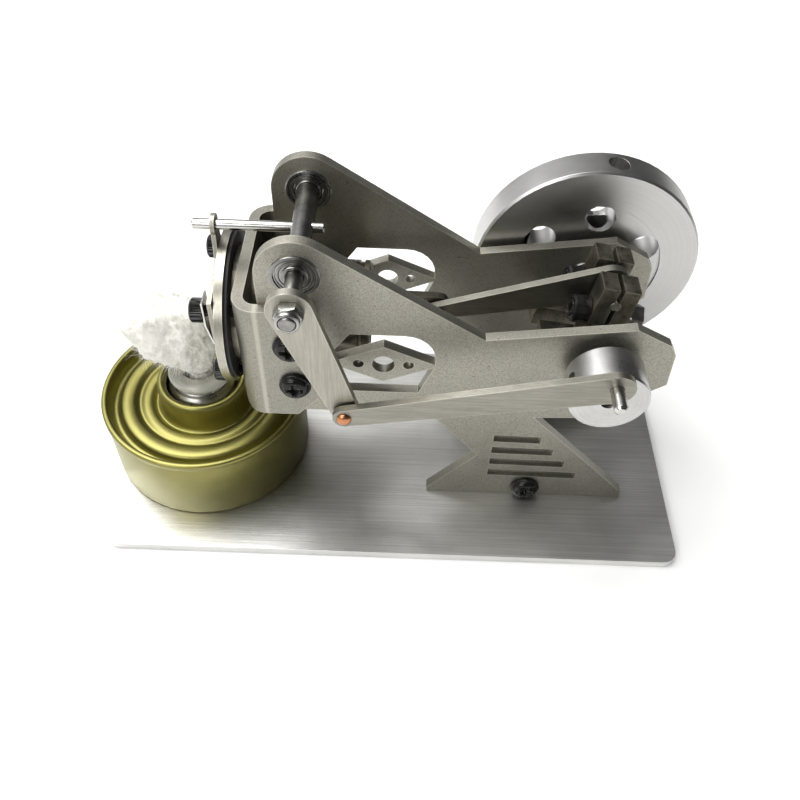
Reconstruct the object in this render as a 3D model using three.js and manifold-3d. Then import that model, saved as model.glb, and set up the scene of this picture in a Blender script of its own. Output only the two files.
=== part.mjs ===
// A flame-licker engine on a base plate: twin side plates, a horizontal cylinder with a sliding
// valve, a rocker that drives the valve from an eccentric disc, a clamped crank, a flywheel and a
// tin spirit burner. Millimetres, +X towards the flywheel, -Y towards the eccentric disc, +Z up.
// The origin is the middle of the base plate's underside.

import * as THREE from 'three';
import { mergeVertices } from 'three/addons/utils/BufferGeometryUtils.js';
import Module from 'manifold-3d';

const wasm = await Module();
wasm.setup();

// ---- Driving dimensions --------------------------------------------------------------------

const ROUND = 20;               // sides of a small round
const FINE = 12;                // sides of a fastener
const BIG_ROUND = 36;           // sides of the cylinder, the burner and their mates
const GAP = 0.05;               // between pieces that touch
const RUNNING = 0.05;           // radial clearance where one piece turns or slides in another

const BASE = { length: 120, width: 58, thick: 2, corner: 3 };

const PLATE = { inner: 11, thick: 2 };                  // distance from the mid-plane, thickness
const PLATE_OUTER = PLATE.inner + PLATE.thick;

const AXIS_Z = 44;                                      // height of the crank and of the cylinder
const CRANK = { x: 37.2, pinX: 38.6, pinZ: 52.4 };      // shaft axis, and crank pin at rest
const ROCKER = { x: -17.6, z: 62.5 };                   // rocker shaft axis

const SHAFT_R = 1.5;                                    // crank half shafts and rocker ends
const BEARING = { outer: 4.25, bore: 1.52, width: 2.6, faces: 0.3 };

const WINDOW = { x: -2.7, z: 42.1, halfWidth: 9.5, halfHeight: 7.5 };
const LOZENGE = { halfHeight: 4.6, bigHole: 2.1, smallHole: 1.0, smallOffset: 4.6 };

const FOOT = { x: 28.5, z: 5.2, blockLength: 9, blockHeight: 6.4 };
const SLOTS = { x: 20, top: 21.4, pitch: 3.85, count: 4, halfHeight: 1.05, length: 9.6, growth: 3.05, fall: 0.02 };

const BRACKET = {
  left: -29.2, right: -14.8, bottom: 29.4, top: 56, thick: 2, bend: 4.2,
  screwX: [-19.3, -18.9], screwZ: [48, 38.1],
};

const CYLINDER = {
  outer: 9.1, bore: 7.4, left: -30.35, right: -5.5, collar: 11.2, collarRight: -29.25,
};
const HEAD = { radius: 14.9, thick: 1.6, right: -31, portR: 1.6, screwY: 9, screwZ: [50.3, 35] };
const HEAD_LEFT = HEAD.right - HEAD.thick;
const GASKET = { radius: 14.2, right: -30.4, thick: 0.55 };
const VALVE = { thick: 0.8, travel: 3, left: HEAD_LEFT - 0.9 };

const PISTON = { radius: CYLINDER.bore - RUNNING, left: -19.4, right: -10.9 };
const CONROD = { thick: 1.5, eye: 3.8, halfWidth: 1.45, wristX: 7.2, endX: 5.1 };

const WEB = { inner: 1.75, thick: 4.7, halfWidth: 3.5, above: 3.8, below: 4.4, slot: 0.9 };
const WEB_ARM = { left: -10.6, top: -1.4, bottom: -5.9 };   // from the shaft axis
const CRANK_PIN_R = 1;

const ROCKER_SHAFT = { thickR: 2, end: -24.7, rearEnd: 14.6 };
const LEVER = { back: -20.2, front: -21.7, bossR: 3.9, endHalfWidth: 2.5 };
const LINK = { back: -22.1, front: -23.5, pinEndR: 3.3, rivetEndR: 2.1 };
const RIVET = { x: -9.3, z: 38.7, headR: 1.35, shankR: 0.8, headHeight: 0.8 };
const DISC = { radius: 7.15, back: -14.9, front: -21.9, pinX: 37.2, pinZ: 48.9, pinR: 1.25 };
const FLYWHEEL = {
  radius: 22.5, front: 14.2, back: 21.2, holeRing: 12, holeR: 3, holes: 6, firstHole: 86,
  recessR: 15, recess: 0.4, screwR: 2.1, screwAngle: 83.3,
};
const ROD = { radius: 0.95, left: -36.9, right: -13.7 };

const CAN = { x: -41.4, y: 0.3, radius: 21.6, top: 19.1, wall: 0.5 };
const NECK = { outer: 9.2, inner: 7.6, top: 22.5 };

// ---- Solids --------------------------------------------------------------------------------

function solidOf(geometry) {
  const bare = geometry.clone();
  bare.deleteAttribute('normal');
  bare.deleteAttribute('uv');
  const merged = mergeVertices(bare);
  return new wasm.Manifold(new wasm.Mesh({
    numProp: 3,
    vertProperties: Float32Array.from(merged.attributes.position.array),
    triVerts: Uint32Array.from(merged.index.array),
  }));
}

function geometryOf(solid) {
  const mesh = solid.getMesh();
  const geometry = new THREE.BufferGeometry();
  geometry.setAttribute('position', new THREE.Float32BufferAttribute(mesh.vertProperties, 3));
  geometry.setIndex(Array.from(mesh.triVerts));
  geometry.computeVertexNormals();
  return geometry;
}

function cut(geometry, ...tools) {
  let solid = solidOf(geometry);
  for (const tool of tools) {
    solid = solid.subtract(solidOf(tool));
  }
  return geometryOf(solid);
}

function join(geometry, ...others) {
  let solid = solidOf(geometry);
  for (const other of others) {
    solid = solid.add(solidOf(other));
  }
  return geometryOf(solid);
}

// Points along an arc, angles in degrees from the first axis towards the second.
function arc(x, z, radius, from, to, steps) {
  const points = [];
  for (let i = 0; i <= steps; i += 1) {
    const angle = THREE.MathUtils.degToRad(from + ((to - from) * i) / steps);
    points.push(new THREE.Vector2(x + radius * Math.cos(angle), z + radius * Math.sin(angle)));
  }
  return points;
}

function circle(x, z, radius, steps = ROUND) {
  return arc(x, z, radius, 0, 360, steps).slice(0, steps);
}

function corners(...pairs) {
  return pairs.map(([x, z]) => new THREE.Vector2(x, z));
}

function rectangle(left, bottom, right, top) {
  return corners([left, bottom], [right, bottom], [right, top], [left, top]);
}

function outline(points, holes = []) {
  const shape = new THREE.Shape(points);
  shape.holes = holes.map((hole) => new THREE.Path(hole));
  return shape;
}

function extrude(shape, depth) {
  return new THREE.ExtrudeGeometry(shape, { depth, bevelEnabled: false });
}

// An outline in X and Z, from y = front to y = back.
function sheetXZ(shape, front, back) {
  return extrude(shape, back - front).rotateX(Math.PI / 2).translate(0, back, 0);
}

// An outline in Y and Z, from x = left to x = right.
const YZX = new THREE.Matrix4().makeBasis(
  new THREE.Vector3(0, 1, 0), new THREE.Vector3(0, 0, 1), new THREE.Vector3(1, 0, 0),
);
function sheetYZ(shape, left, right) {
  return extrude(shape, right - left).applyMatrix4(YZX).translate(left, 0, 0);
}

// An outline in X and Y, from z = bottom to z = top.
function sheetXY(shape, bottom, top) {
  return extrude(shape, top - bottom).translate(0, 0, bottom);
}

// A profile of [radius, height] pairs turned about an axis. It runs anticlockwise: bottom, outside, top.
function turned(profile, steps) {
  const points = profile.map(([radius, height]) => new THREE.Vector2(radius, height));
  return new THREE.LatheGeometry(points, steps);
}
function turnedX(profile, y, z, steps = ROUND) {
  return turned(profile, steps).rotateZ(-Math.PI / 2).translate(0, y, z);
}
function turnedY(profile, x, z, steps = ROUND) {
  return turned(profile, steps).translate(x, 0, z);
}
function turnedZ(profile, x, y, steps = ROUND) {
  return turned(profile, steps).rotateX(Math.PI / 2).translate(x, y, 0);
}

function bar(radius, from, to) {
  return [[0, from], [radius, from], [radius, to], [0, to]];
}

function ring(inner, outer, from, to) {
  return [[inner, from], [outer, from], [outer, to], [inner, to], [inner, from]];
}

// ---- Materials and the scene graph ---------------------------------------------------------

function finish(color, roughness, metalness = 1) {
  return () => new THREE.MeshStandardMaterial({ color, roughness, metalness });
}

const satinSteel = finish(0x9a9892, 0.45);
const brushedSteel = finish(0xb4b2ae, 0.35);
const polishedSteel = finish(0xc4c3c0, 0.15);
const aluminium = finish(0xc9c9ca, 0.3);
const darkSteel = finish(0x4c4a45, 0.5);
const blackSteel = finish(0x17171a, 0.35);
const copper = finish(0xb0693c, 0.3);
const goldLacquer = finish(0x8d8753, 0.25);
const rubber = finish(0x1a1a1a, 0.7, 0);
const clearGlass = finish(0xdfe6e4, 0.1, 0);
const cotton = finish(0xeceadf, 0.95, 0);

const engine = new THREE.Group();

function add(name, geometry, material) {
  const mesh = new THREE.Mesh(geometry, material());
  mesh.name = name;
  engine.add(mesh);
  return mesh;
}

// ---- Fasteners, made along +Z with the bearing face of the head at z = 0 --------------------

function crossRecess(radius, depth, top) {
  const arm = 0.35;
  const long = new THREE.BoxGeometry(2 * radius, 2 * arm, depth).translate(0, 0, top - depth / 2);
  return join(long, long.clone().rotateZ(Math.PI / 2));
}

function panScrew(headR, headHeight, shankR, length) {
  const profile = [
    [0, -length], [shankR, -length], [shankR, 0], [headR, 0], [headR, 0.45 * headHeight],
    [0.88 * headR, 0.78 * headHeight], [0.6 * headR, 0.96 * headHeight], [0, headHeight],
  ];
  const body = turnedZ(profile, 0, 0, FINE);
  return cut(body, crossRecess(0.55 * headR, 0.6 * headHeight, headHeight + 0.2));
}

function capScrew(headR, headHeight, shankR, length) {
  const chamfer = 0.25;
  const profile = [
    [0, -length], [shankR, -length], [shankR, 0], [headR, 0], [headR, headHeight - chamfer],
    [headR - chamfer, headHeight], [0, headHeight],
  ];
  const socket = new THREE.CylinderGeometry(0.52 * headR, 0.52 * headR, headHeight, 6);
  return cut(turnedZ(profile, 0, 0, FINE), socket.rotateX(Math.PI / 2).translate(0, 0, headHeight));
}

function countersunkScrew(headR, headHeight, shankR, length) {
  const profile = [
    [0, -length], [shankR, -length], [shankR, -headHeight], [headR, 0], [0, 0],
  ];
  return cut(turnedZ(profile, 0, 0, FINE), crossRecess(0.5 * headR, 1.4, 0.2));
}

function grubScrew(radius, length) {
  const socket = new THREE.CylinderGeometry(0.5 * radius, 0.5 * radius, length, 6);
  socket.rotateX(Math.PI / 2).translate(0, 0, length);
  return cut(turnedZ(bar(radius, 0, length), 0, 0, 16), socket);
}

const TO_FRONT = new THREE.Matrix4().makeRotationX(Math.PI / 2);     // +Z becomes -Y
const TO_BACK = new THREE.Matrix4().makeRotationX(-Math.PI / 2);     // +Z becomes +Y
const TO_LEFT = new THREE.Matrix4().makeRotationY(-Math.PI / 2);     // +Z becomes -X
const TO_BELOW = new THREE.Matrix4().makeRotationX(Math.PI);         // +Z becomes -Z

function placed(geometry, turn, x, y, z) {
  return geometry.clone().applyMatrix4(turn).translate(x, y, z);
}

// ---- Base plate and foot block -------------------------------------------------------------

const BASE_SCREW = { y: 4.6, headR: 2.4, headHeight: 1.4, shankR: 1.2, length: 6 };
const FOOT_SCREW = { headR: 3.1, headHeight: 2, shankR: 1.4, length: 7 };

function buildBase() {
  const { length, width, thick, corner } = BASE;
  const halfLength = length / 2 - corner;
  const halfWidth = width / 2 - corner;
  const edge = [
    ...arc(halfLength, -halfWidth, corner, -90, 0, 5),
    ...arc(halfLength, halfWidth, corner, 0, 90, 5),
    ...arc(-halfLength, halfWidth, corner, 90, 180, 5),
    ...arc(-halfLength, -halfWidth, corner, 180, 270, 5),
  ];
  const plate = sheetXY(outline(edge), 0, thick);
  const { headR, headHeight, shankR } = BASE_SCREW;
  const seat = [
    [0, -1], [headR + GAP, -1], [headR + GAP, 0.1], [shankR + GAP, headHeight + 0.15],
    [shankR + GAP, thick + 1], [0, thick + 1],
  ];
  const seats = [-1, 1].map((side) => turnedZ(seat, FOOT.x, side * BASE_SCREW.y, FINE));
  add('base_plate', cut(plate, ...seats), brushedSteel);
}

function buildFootBlock() {
  const halfLength = FOOT.blockLength / 2;
  const bottom = BASE.thick + GAP;
  const top = bottom + FOOT.blockHeight;
  const section = rectangle(FOOT.x - halfLength, bottom, FOOT.x + halfLength, top);
  const block = sheetXZ(outline(section), -PLATE.inner + GAP, PLATE.inner - GAP);
  const { headR, headHeight, shankR, length } = FOOT_SCREW;
  const sunk = BASE_SCREW;
  const across = turnedZ(bar(shankR + GAP, -length - 1, 2), 0, 0, FINE);
  const upright = bar(sunk.shankR + GAP, bottom - 1, sunk.length + 0.3);
  const screw = panScrew(headR, headHeight, shankR, length);
  const baseScrew = countersunkScrew(sunk.headR, sunk.headHeight, sunk.shankR, sunk.length);
  const holes = [];
  for (const [end, side, turn] of [['front', -1, TO_FRONT], ['rear', 1, TO_BACK]]) {
    holes.push(placed(across, turn, FOOT.x, side * PLATE_OUTER, FOOT.z));
    holes.push(turnedZ(upright, FOOT.x, side * sunk.y, FINE));
    add(`foot_screw_${end}`, placed(screw, turn, FOOT.x, side * (PLATE_OUTER + GAP), FOOT.z), blackSteel);
    add(`base_screw_${end}`, placed(baseScrew, TO_BELOW, FOOT.x, side * sunk.y, 0.1), blackSteel);
  }
  add('foot_block', cut(block, ...holes), darkSteel);
}

// ---- Side plates ---------------------------------------------------------------------------

function sidePlateOutline() {
  const ear = 6.9;
  const slantFrom = 56;      // where the round ear runs into the slanted top edge, degrees
  return [
    [-24.3, 30.5],
    [-22.3, 28.5],
    [6.6, 28.5],
    [17.2, 15.6],
    [7.3, 3.4],
    [7.3, BASE.thick + GAP],
    [49.8, BASE.thick + GAP],
    [49.8, 4],
    [27.1, 28.4],
    [37, 28.9],
    [43.5, 32.5],
    [47.9, 37.6],
    [50.2, 39.4],
    [49.7, 47.2],
    [48.4, 49.5],
    [41.6, 53.1],
    [39.6, 52.7],
    [15.4, 49.2],
  ].map(([x, z]) => new THREE.Vector2(x, z)).concat(
    arc(ROCKER.x, ROCKER.z, ear, slantFrom, 180, 14),
  );
}

function windowOutline() {
  const { x, z, halfWidth, halfHeight } = WINDOW;
  const flat = 6.1;          // half of the straight top
  const flatBottom = 6.7;    // half of the straight bottom
  const corner = 5.8;        // upper right corner radius
  return [
    new THREE.Vector2(x + halfWidth, z),
    ...arc(x + halfWidth - corner, z + halfHeight - corner, corner, 0, 90, 6),
    new THREE.Vector2(x - flat, z + halfHeight),
    new THREE.Vector2(x - halfWidth, z + 2.6),
    new THREE.Vector2(x - halfWidth, z),
    new THREE.Vector2(x - flatBottom, z - halfHeight),
    new THREE.Vector2(x + flatBottom, z - halfHeight),
  ];
}

function slotOutline(index) {
  const { x, top, pitch, halfHeight, length, growth, fall } = SLOTS;
  const z = top - index * pitch;
  const right = x + length + growth * index;
  const rightZ = z - fall * (right - x);
  return [
    new THREE.Vector2(x, z + halfHeight),
    new THREE.Vector2(x, z - halfHeight),
    new THREE.Vector2(right, rightZ - halfHeight),
    new THREE.Vector2(right, rightZ + halfHeight),
  ];
}

function buildSidePlates() {
  const bearingHole = BEARING.outer + RUNNING;
  const holes = [
    windowOutline(),
    circle(ROCKER.x, ROCKER.z, bearingHole),
    circle(CRANK.x, AXIS_Z, bearingHole),
    circle(FOOT.x, FOOT.z, FOOT_SCREW.shankR + GAP, FINE),
    ...BRACKET.screwX.map((x, i) => circle(x, BRACKET.screwZ[i], BRACKET_SCREW.shankR + GAP, FINE)),
    ...Array.from({ length: SLOTS.count }, (_, i) => slotOutline(i)),
  ];
  const { x, z, halfWidth } = WINDOW;
  const { halfHeight, bigHole, smallHole, smallOffset } = LOZENGE;
  const reach = halfWidth + 0.8;      // the lozenge runs into the window's left and right tips
  const lozenge = outline(
    corners([x - reach, z], [x, z - halfHeight], [x + reach, z], [x, z + halfHeight]),
    [
      circle(x, z, bigHole, 24),
      circle(x - smallOffset, z, smallHole, 16),
      circle(x + smallOffset, z, smallHole, 16),
    ],
  );
  const plate = outline(sidePlateOutline(), holes);
  for (const [end, front] of [['front', -PLATE_OUTER], ['rear', PLATE.inner]]) {
    const back = front + PLATE.thick;
    const whole = join(sheetXZ(plate, front, back), sheetXZ(lozenge, front, back));
    add(`side_plate_${end}`, whole, satinSteel);
  }
}

// ---- Cylinder bracket ----------------------------------------------------------------------

const BRACKET_SCREW = { headR: 2.95, headHeight: 1.9, shankR: 1.4, length: 4.6 };
const HEAD_SCREW = { headR: 2.25, headHeight: 2.4, shankR: 1.15 };
const UNDER_HEADS = VALVE.left - 1.5;       // the upper screws leave room for the valve and its spring
const HEAD_SCREWS = [['upper', UNDER_HEADS], ['lower', HEAD_LEFT - GAP]].flatMap(([level, seat], i) => (
  [['front', -1], ['rear', 1]].map(([end, side]) => (
    { name: `${level}_${end}`, seat, y: side * HEAD.screwY, z: HEAD.screwZ[i] }
  ))
));

function screwHolesAlongX(from, to) {
  return HEAD_SCREWS.map(({ y, z }) => turnedX(bar(HEAD_SCREW.shankR + GAP, from, to), y, z, FINE));
}

function buildBracket() {
  const { left, right, bottom, top, thick, bend } = BRACKET;
  const inside = PLATE_OUTER + GAP;
  const outside = inside + thick;
  const innerBend = bend - thick;
  const section = [
    ...arc(left + bend, -outside + bend, bend, 180, 270, 6),
    ...corners([right, -outside], [right, -inside]),
    ...arc(left + bend, -outside + bend, innerBend, 270, 180, 6),
    ...arc(left + bend, outside - bend, innerBend, 180, 90, 6),
    ...corners([right, inside], [right, outside]),
    ...arc(left + bend, outside - bend, bend, 90, 180, 6),
  ];
  const folded = sheetXY(outline(section), bottom, top);
  const notch = corners(
    [-19.7, bottom - 1], [right + 1, bottom - 1], [right + 1, 36.4], [right, 34.2], [-17.6, 30.9],
  );
  const corner = 2.2;
  const round = [
    ...corners([left - 1, bottom - 1], [left + corner, bottom - 1]),
    ...arc(left + corner, bottom + corner, corner, 270, 180, 5),
    ...corners([left - 1, bottom + corner]),
  ];
  const tools = [
    sheetXZ(outline(notch), -outside - 1, outside + 1),
    sheetXZ(outline(round), -outside - 1, outside + 1),
    turnedX(bar(CYLINDER.outer + GAP, left - 1, left + thick + 1), 0, AXIS_Z, BIG_ROUND),
    ...screwHolesAlongX(left - 1, left + thick + 1),
  ];
  BRACKET.screwX.forEach((x, i) => {
    for (const turn of [TO_FRONT, TO_BACK]) {
      const hole = turnedZ(bar(BRACKET_SCREW.shankR + GAP, inside - 1, outside + 1), 0, 0, FINE);
      tools.push(placed(hole, turn, x, 0, BRACKET.screwZ[i]));
    }
  });
  add('cylinder_bracket', cut(folded, ...tools), satinSteel);

  const { headR, headHeight, shankR, length } = BRACKET_SCREW;
  const screw = panScrew(headR, headHeight, shankR, length);
  BRACKET.screwX.forEach((x, i) => {
    const level = i === 0 ? 'upper' : 'lower';
    const z = BRACKET.screwZ[i];
    add(`bracket_screw_front_${level}`, placed(screw, TO_FRONT, x, -outside - GAP, z), blackSteel);
    add(`bracket_screw_rear_${level}`, placed(screw, TO_BACK, x, outside + GAP, z), blackSteel);
  });
}

// ---- Cylinder, head and valve --------------------------------------------------------------

function buildCylinder() {
  const { outer, bore, left, right, collar, collarRight } = CYLINDER;
  const chamfer = 0.4;
  const tube = turnedX([
    [bore, left], [collar, left], [collar, collarRight], [outer, collarRight],
    [outer, right - 2.2], [outer - 0.35, right - 2], [outer - 0.35, right - 1.5], [outer, right - 1.3],
    [outer, right - chamfer], [outer - chamfer, right], [bore + chamfer, right],
    [bore, right - chamfer], [bore, left],
  ], 0, AXIS_Z, BIG_ROUND);
  const reliefs = screwHolesAlongX(left - 1, collarRight + 0.02);
  add('cylinder', cut(tube, ...reliefs), darkSteel);

  const screwHoles = HEAD_SCREWS.map(({ y, z }) => circle(y, z, HEAD_SCREW.shankR + GAP, FINE));
  const gasketHoles = [circle(0, AXIS_Z, CYLINDER.bore, BIG_ROUND), ...screwHoles];
  const gasket = outline(circle(0, AXIS_Z, GASKET.radius, BIG_ROUND), gasketHoles);
  add('head_gasket', sheetYZ(gasket, GASKET.right - GASKET.thick, GASKET.right), rubber);

  const port = circle(0, AXIS_Z, HEAD.portR, 24);
  const disc = outline(circle(0, AXIS_Z, HEAD.radius, 48), [port, ...screwHoles]);
  add('cylinder_head', sheetYZ(disc, HEAD_LEFT, HEAD.right), brushedSteel);

  for (const { name, seat, y, z } of HEAD_SCREWS) {
    const length = BRACKET.left + BRACKET.thick + 0.6 - seat;
    const screw = capScrew(HEAD_SCREW.headR, HEAD_SCREW.headHeight, HEAD_SCREW.shankR, length);
    add(`head_screw_${name}`, placed(screw, TO_LEFT, seat, y, z), blackSteel);
  }
}

function guideSlot(y, z) {
  const radius = HEAD_SCREW.shankR + 0.15;
  return [
    ...arc(y, z + VALVE.travel + 0.3, radius, 0, 180, 8),
    ...arc(y, z - VALVE.travel - 0.3, radius, 180, 360, 8),
  ];
}

function buildValve() {
  const [front, rear] = HEAD_SCREWS;
  const neck = 2.3;           // half width of the neck below the ring that holds the rod
  const shoulder = 12;
  const body = [
    ...arc(0, AXIS_Z + 0.4, 3.6, 215, 325, 8),
    ...corners([shoulder - 2, 44.1], [shoulder, 45.6], [shoulder, 54.6], [neck, 56.6]),
    ...arc(0, ROCKER.z, 1.9, -40, 220, 14),
    ...corners([-neck, 56.6], [-shoulder, 54.6], [-shoulder, 45.6], [2 - shoulder, 44.1]),
  ];
  const holes = [
    guideSlot(front.y, front.z), guideSlot(rear.y, rear.z), circle(0, ROCKER.z, ROD.radius + 0.25, 24),
  ];
  add('valve_plate', sheetYZ(outline(body, holes), VALVE.left, VALVE.left + VALVE.thick), satinSteel);

  const under = UNDER_HEADS + GAP;
  const leaf = 0.35;
  const edge = (back) => [
    [under + back, front.z + 3.1], [under + back, front.z - 2.2], [VALVE.left - 0.5 + back, front.z - 6.6],
  ];
  const side = corners(...edge(0), ...edge(leaf).reverse());
  const strip = sheetXZ(outline(side), front.y - 1.9, front.y + 1.9);
  const hole = turnedX(bar(HEAD_SCREW.shankR + GAP, under - 1, under + 1), front.y, front.z, FINE);
  add('valve_spring', cut(strip, hole), polishedSteel);
}

// ---- Piston --------------------------------------------------------------------------------

function buildPiston() {
  const { radius, left, right } = PISTON;
  const crown = 2.4;
  const wall = 1.3;
  const skirt = turnedX([
    [0, left], [radius, left], [radius, right], [radius - wall, right],
    [radius - wall, left + crown], [0, left + crown],
  ], 0, AXIS_Z, BIG_ROUND);
  const ear = [
    ...corners([left + crown - 0.6, AXIS_Z - 2.6], [CONROD.wristX, AXIS_Z - 2.3]),
    ...arc(CONROD.wristX, AXIS_Z, 2.3, -60, 60, 6),
    ...corners([CONROD.wristX, AXIS_Z + 2.3], [left + crown - 0.6, AXIS_Z + 2.6]),
  ];
  const eye = circle(CONROD.wristX, AXIS_Z, 0.9, 16);
  const earNear = CONROD.thick / 2 + 0.35;
  add('piston', join(skirt, sheetXZ(outline(ear, [eye]), earNear, earNear + 1.6)), darkSteel);
}

// ---- Bearings ------------------------------------------------------------------------------

function bearingOuter(x, z, middle) {
  const half = BEARING.width / 2;
  const shieldR = 2.75;
  const shield = 0.25;
  const wall = 0.75;
  const { outer } = BEARING;
  const profile = [
    [shieldR, middle - half], [outer, middle - half], [outer, middle + half], [shieldR, middle + half],
    [shieldR, middle + half - shield], [outer - wall, middle + half - shield],
    [outer - wall, middle - half + shield], [shieldR, middle - half + shield], [shieldR, middle - half],
  ];
  return turnedY(profile, x, z);
}

function bearingInner(x, z, middle) {
  const half = BEARING.width / 2 + 0.1;
  return turnedY(ring(BEARING.bore, 2.6, middle - half, middle + half), x, z);
}

function buildBearings() {
  for (const [name, x, z] of [['rocker', ROCKER.x, ROCKER.z], ['crank', CRANK.x, AXIS_Z]]) {
    for (const [end, side] of [['front', -1], ['rear', 1]]) {
      const middle = side * (PLATE.inner + BEARING.width / 2 - BEARING.faces);
      add(`${name}_bearing_${end}_outer`, bearingOuter(x, z, middle), polishedSteel);
      add(`${name}_bearing_${end}_inner`, bearingInner(x, z, middle), polishedSteel);
    }
  }
}

// ---- Crank ---------------------------------------------------------------------------------

const CRANK_R = Math.hypot(CRANK.pinX - CRANK.x, CRANK.pinZ - AXIS_Z);
const CRANK_TILT = Math.atan2(CRANK.pinX - CRANK.x, CRANK.pinZ - AXIS_Z);
const CLAMP = { height: 4.9, screwR: 1.2, headR: 2.55, headHeight: 3.4, nutR: 2.7, nutHeight: 2.9 };

// From the crank's own frame, shaft at the origin and pin straight above, to its rest pose.
function onCrank(geometry) {
  return geometry.rotateY(CRANK_TILT).translate(CRANK.x, 0, AXIS_Z);
}

function webGeometry(front, middle) {
  const { thick, halfWidth, above, below, slot } = WEB;
  const top = CRANK_R + above;
  const armLeft = WEB_ARM.left;
  const body = corners(
    [-halfWidth, top], [-halfWidth, WEB_ARM.top], [armLeft, WEB_ARM.top], [armLeft, WEB_ARM.bottom],
    [halfWidth - 1.2, WEB_ARM.bottom], [halfWidth, -below], [halfWidth, top],
  ).reverse();
  const web = sheetXZ(outline(body), front, front + thick);
  const across = turned(bar(CLAMP.screwR + GAP, -8, 8), FINE).rotateZ(-Math.PI / 2);
  return onCrank(cut(
    web,
    sheetXZ(outline(rectangle(-slot / 2, 0, slot / 2, top + 1)), front - 1, front + thick + 1),
    sheetXZ(outline(circle(0, 0, SHAFT_R + GAP)), front - 1, front + thick + 1),
    sheetXZ(outline(circle(0, CRANK_R, CRANK_PIN_R + GAP, 24)), front - 1, front + thick + 1),
    across.translate(0, middle, CLAMP.height),
  ));
}

function buildCrank() {
  for (const [end, side] of [['front', -1], ['rear', 1]]) {
    const inner = side * WEB.inner;
    const outer = side * (WEB.inner + WEB.thick);
    const middle = (inner + outer) / 2;
    add(`crank_web_${end}`, webGeometry(Math.min(inner, outer), middle), darkSteel);
    const screw = panScrew(CLAMP.headR, CLAMP.headHeight, CLAMP.screwR, 2 * WEB.halfWidth + 3.6);
    const screwPlaced = placed(screw, TO_LEFT, -WEB.halfWidth - GAP, middle, CLAMP.height);
    add(`clamp_screw_${end}`, onCrank(screwPlaced), blackSteel);
    const nut = nutGeometry(CLAMP.nutR, CLAMP.nutHeight, CLAMP.screwR + GAP);
    const nutPlaced = placed(nut, TO_LEFT, WEB.halfWidth + GAP + CLAMP.nutHeight, middle, CLAMP.height);
    add(`clamp_nut_${end}`, onCrank(nutPlaced), polishedSteel);
  }
  const half = WEB.inner + WEB.thick;
  const pin = turned(bar(CRANK_PIN_R, -half, half), 24).translate(0, 0, CRANK_R);
  add('crank_pin', onCrank(pin), polishedSteel);
  for (const [end, from, to] of [
    ['front', DISC.front + 0.6, -WEB.inner],
    ['rear', WEB.inner, FLYWHEEL.back + 0.8],
  ]) {
    add(`crank_shaft_${end}`, turnedY(bar(SHAFT_R, from, to), CRANK.x, AXIS_Z), polishedSteel);
  }
}

function nutGeometry(radius, height, boreR) {
  const prism = extrude(outline(circle(0, 0, radius, 6), [circle(0, 0, boreR, FINE)]), height);
  const past = 0.01;
  const cone = turnedZ([
    [0, -past], [radius + past, -past], [radius + past, 0.8 * height], [0.84 * radius, height + past],
    [0, height + past],
  ], 0, 0, 24);
  return geometryOf(solidOf(prism).intersect(solidOf(cone)));
}

function buildConrod() {
  const { thick, eye, halfWidth, wristX, endX } = CONROD;
  const dx = CRANK.pinX - wristX;
  const dz = CRANK.pinZ - AXIS_Z;
  const length = Math.hypot(dx, dz);
  const end = (wristX - endX) / (dx / length);
  const left = -length - end;
  const chamfer = 0.5;
  const taper = THREE.MathUtils.radToDeg(Math.asin((eye - halfWidth) / length));   // its sides run into the eye
  const shape = outline([
    ...corners([left, chamfer - halfWidth], [left + chamfer, -halfWidth]),
    ...arc(0, 0, eye, 270 - taper, 450 + taper, 20),
    ...corners([left + chamfer, halfWidth], [left, halfWidth - chamfer]),
  ], [circle(0, 0, CRANK_PIN_R + RUNNING, 24), circle(-length, 0, 0.9, 16)]);
  const rod = sheetXZ(shape, -thick / 2, thick / 2);
  rod.rotateY(-Math.atan2(dz, dx)).translate(CRANK.pinX, 0, CRANK.pinZ);
  add('conrod', rod, brushedSteel);
  const pin = turnedY([
    [0, -thick / 2 - 0.5], [1.5, -thick / 2 - 0.5], [1.5, -thick / 2 - GAP], [0.85, -thick / 2 - GAP],
    [0.85, thick / 2], [0, thick / 2],
  ], wristX, AXIS_Z, 16);
  add('wrist_pin', pin, polishedSteel);
}

function buildEccentric() {
  const { radius, back, front, pinX, pinZ, pinR } = DISC;
  const chamfer = 0.3;
  const disc = turnedY([
    [0, front], [radius - chamfer, front], [radius, front + chamfer], [radius, back - chamfer],
    [radius - chamfer, back], [0, back],
  ], CRANK.x, AXIS_Z, 48);
  const middle = (back + front) / 2;
  const screwAngle = THREE.MathUtils.degToRad(-72);
  const alongScrew = (geometry) => geometry.rotateY(screwAngle).translate(CRANK.x, middle, AXIS_Z);
  const tapped = alongScrew(turnedZ(bar(1.15, 0, radius + 1), 0, 0, 16));
  add('eccentric_disc', cut(
    disc,
    turnedY(bar(SHAFT_R + GAP, front - 1, back + 1), CRANK.x, AXIS_Z),
    turnedY(bar(pinR + GAP, front - 1, back - 1.5), pinX, pinZ, 24),
    tapped,
  ), aluminium);
  add('disc_set_screw', alongScrew(grubScrew(1.1, 3).translate(0, 0, SHAFT_R + 0.15)), blackSteel);
  const end = -28.2;
  const round = 0.5;
  add('eccentric_pin', turnedY([
    [0, end], [pinR - round, end], [pinR, end + round], [pinR, back - 1.7], [0, back - 1.7],
  ], pinX, pinZ, 24), polishedSteel);
}

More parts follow.
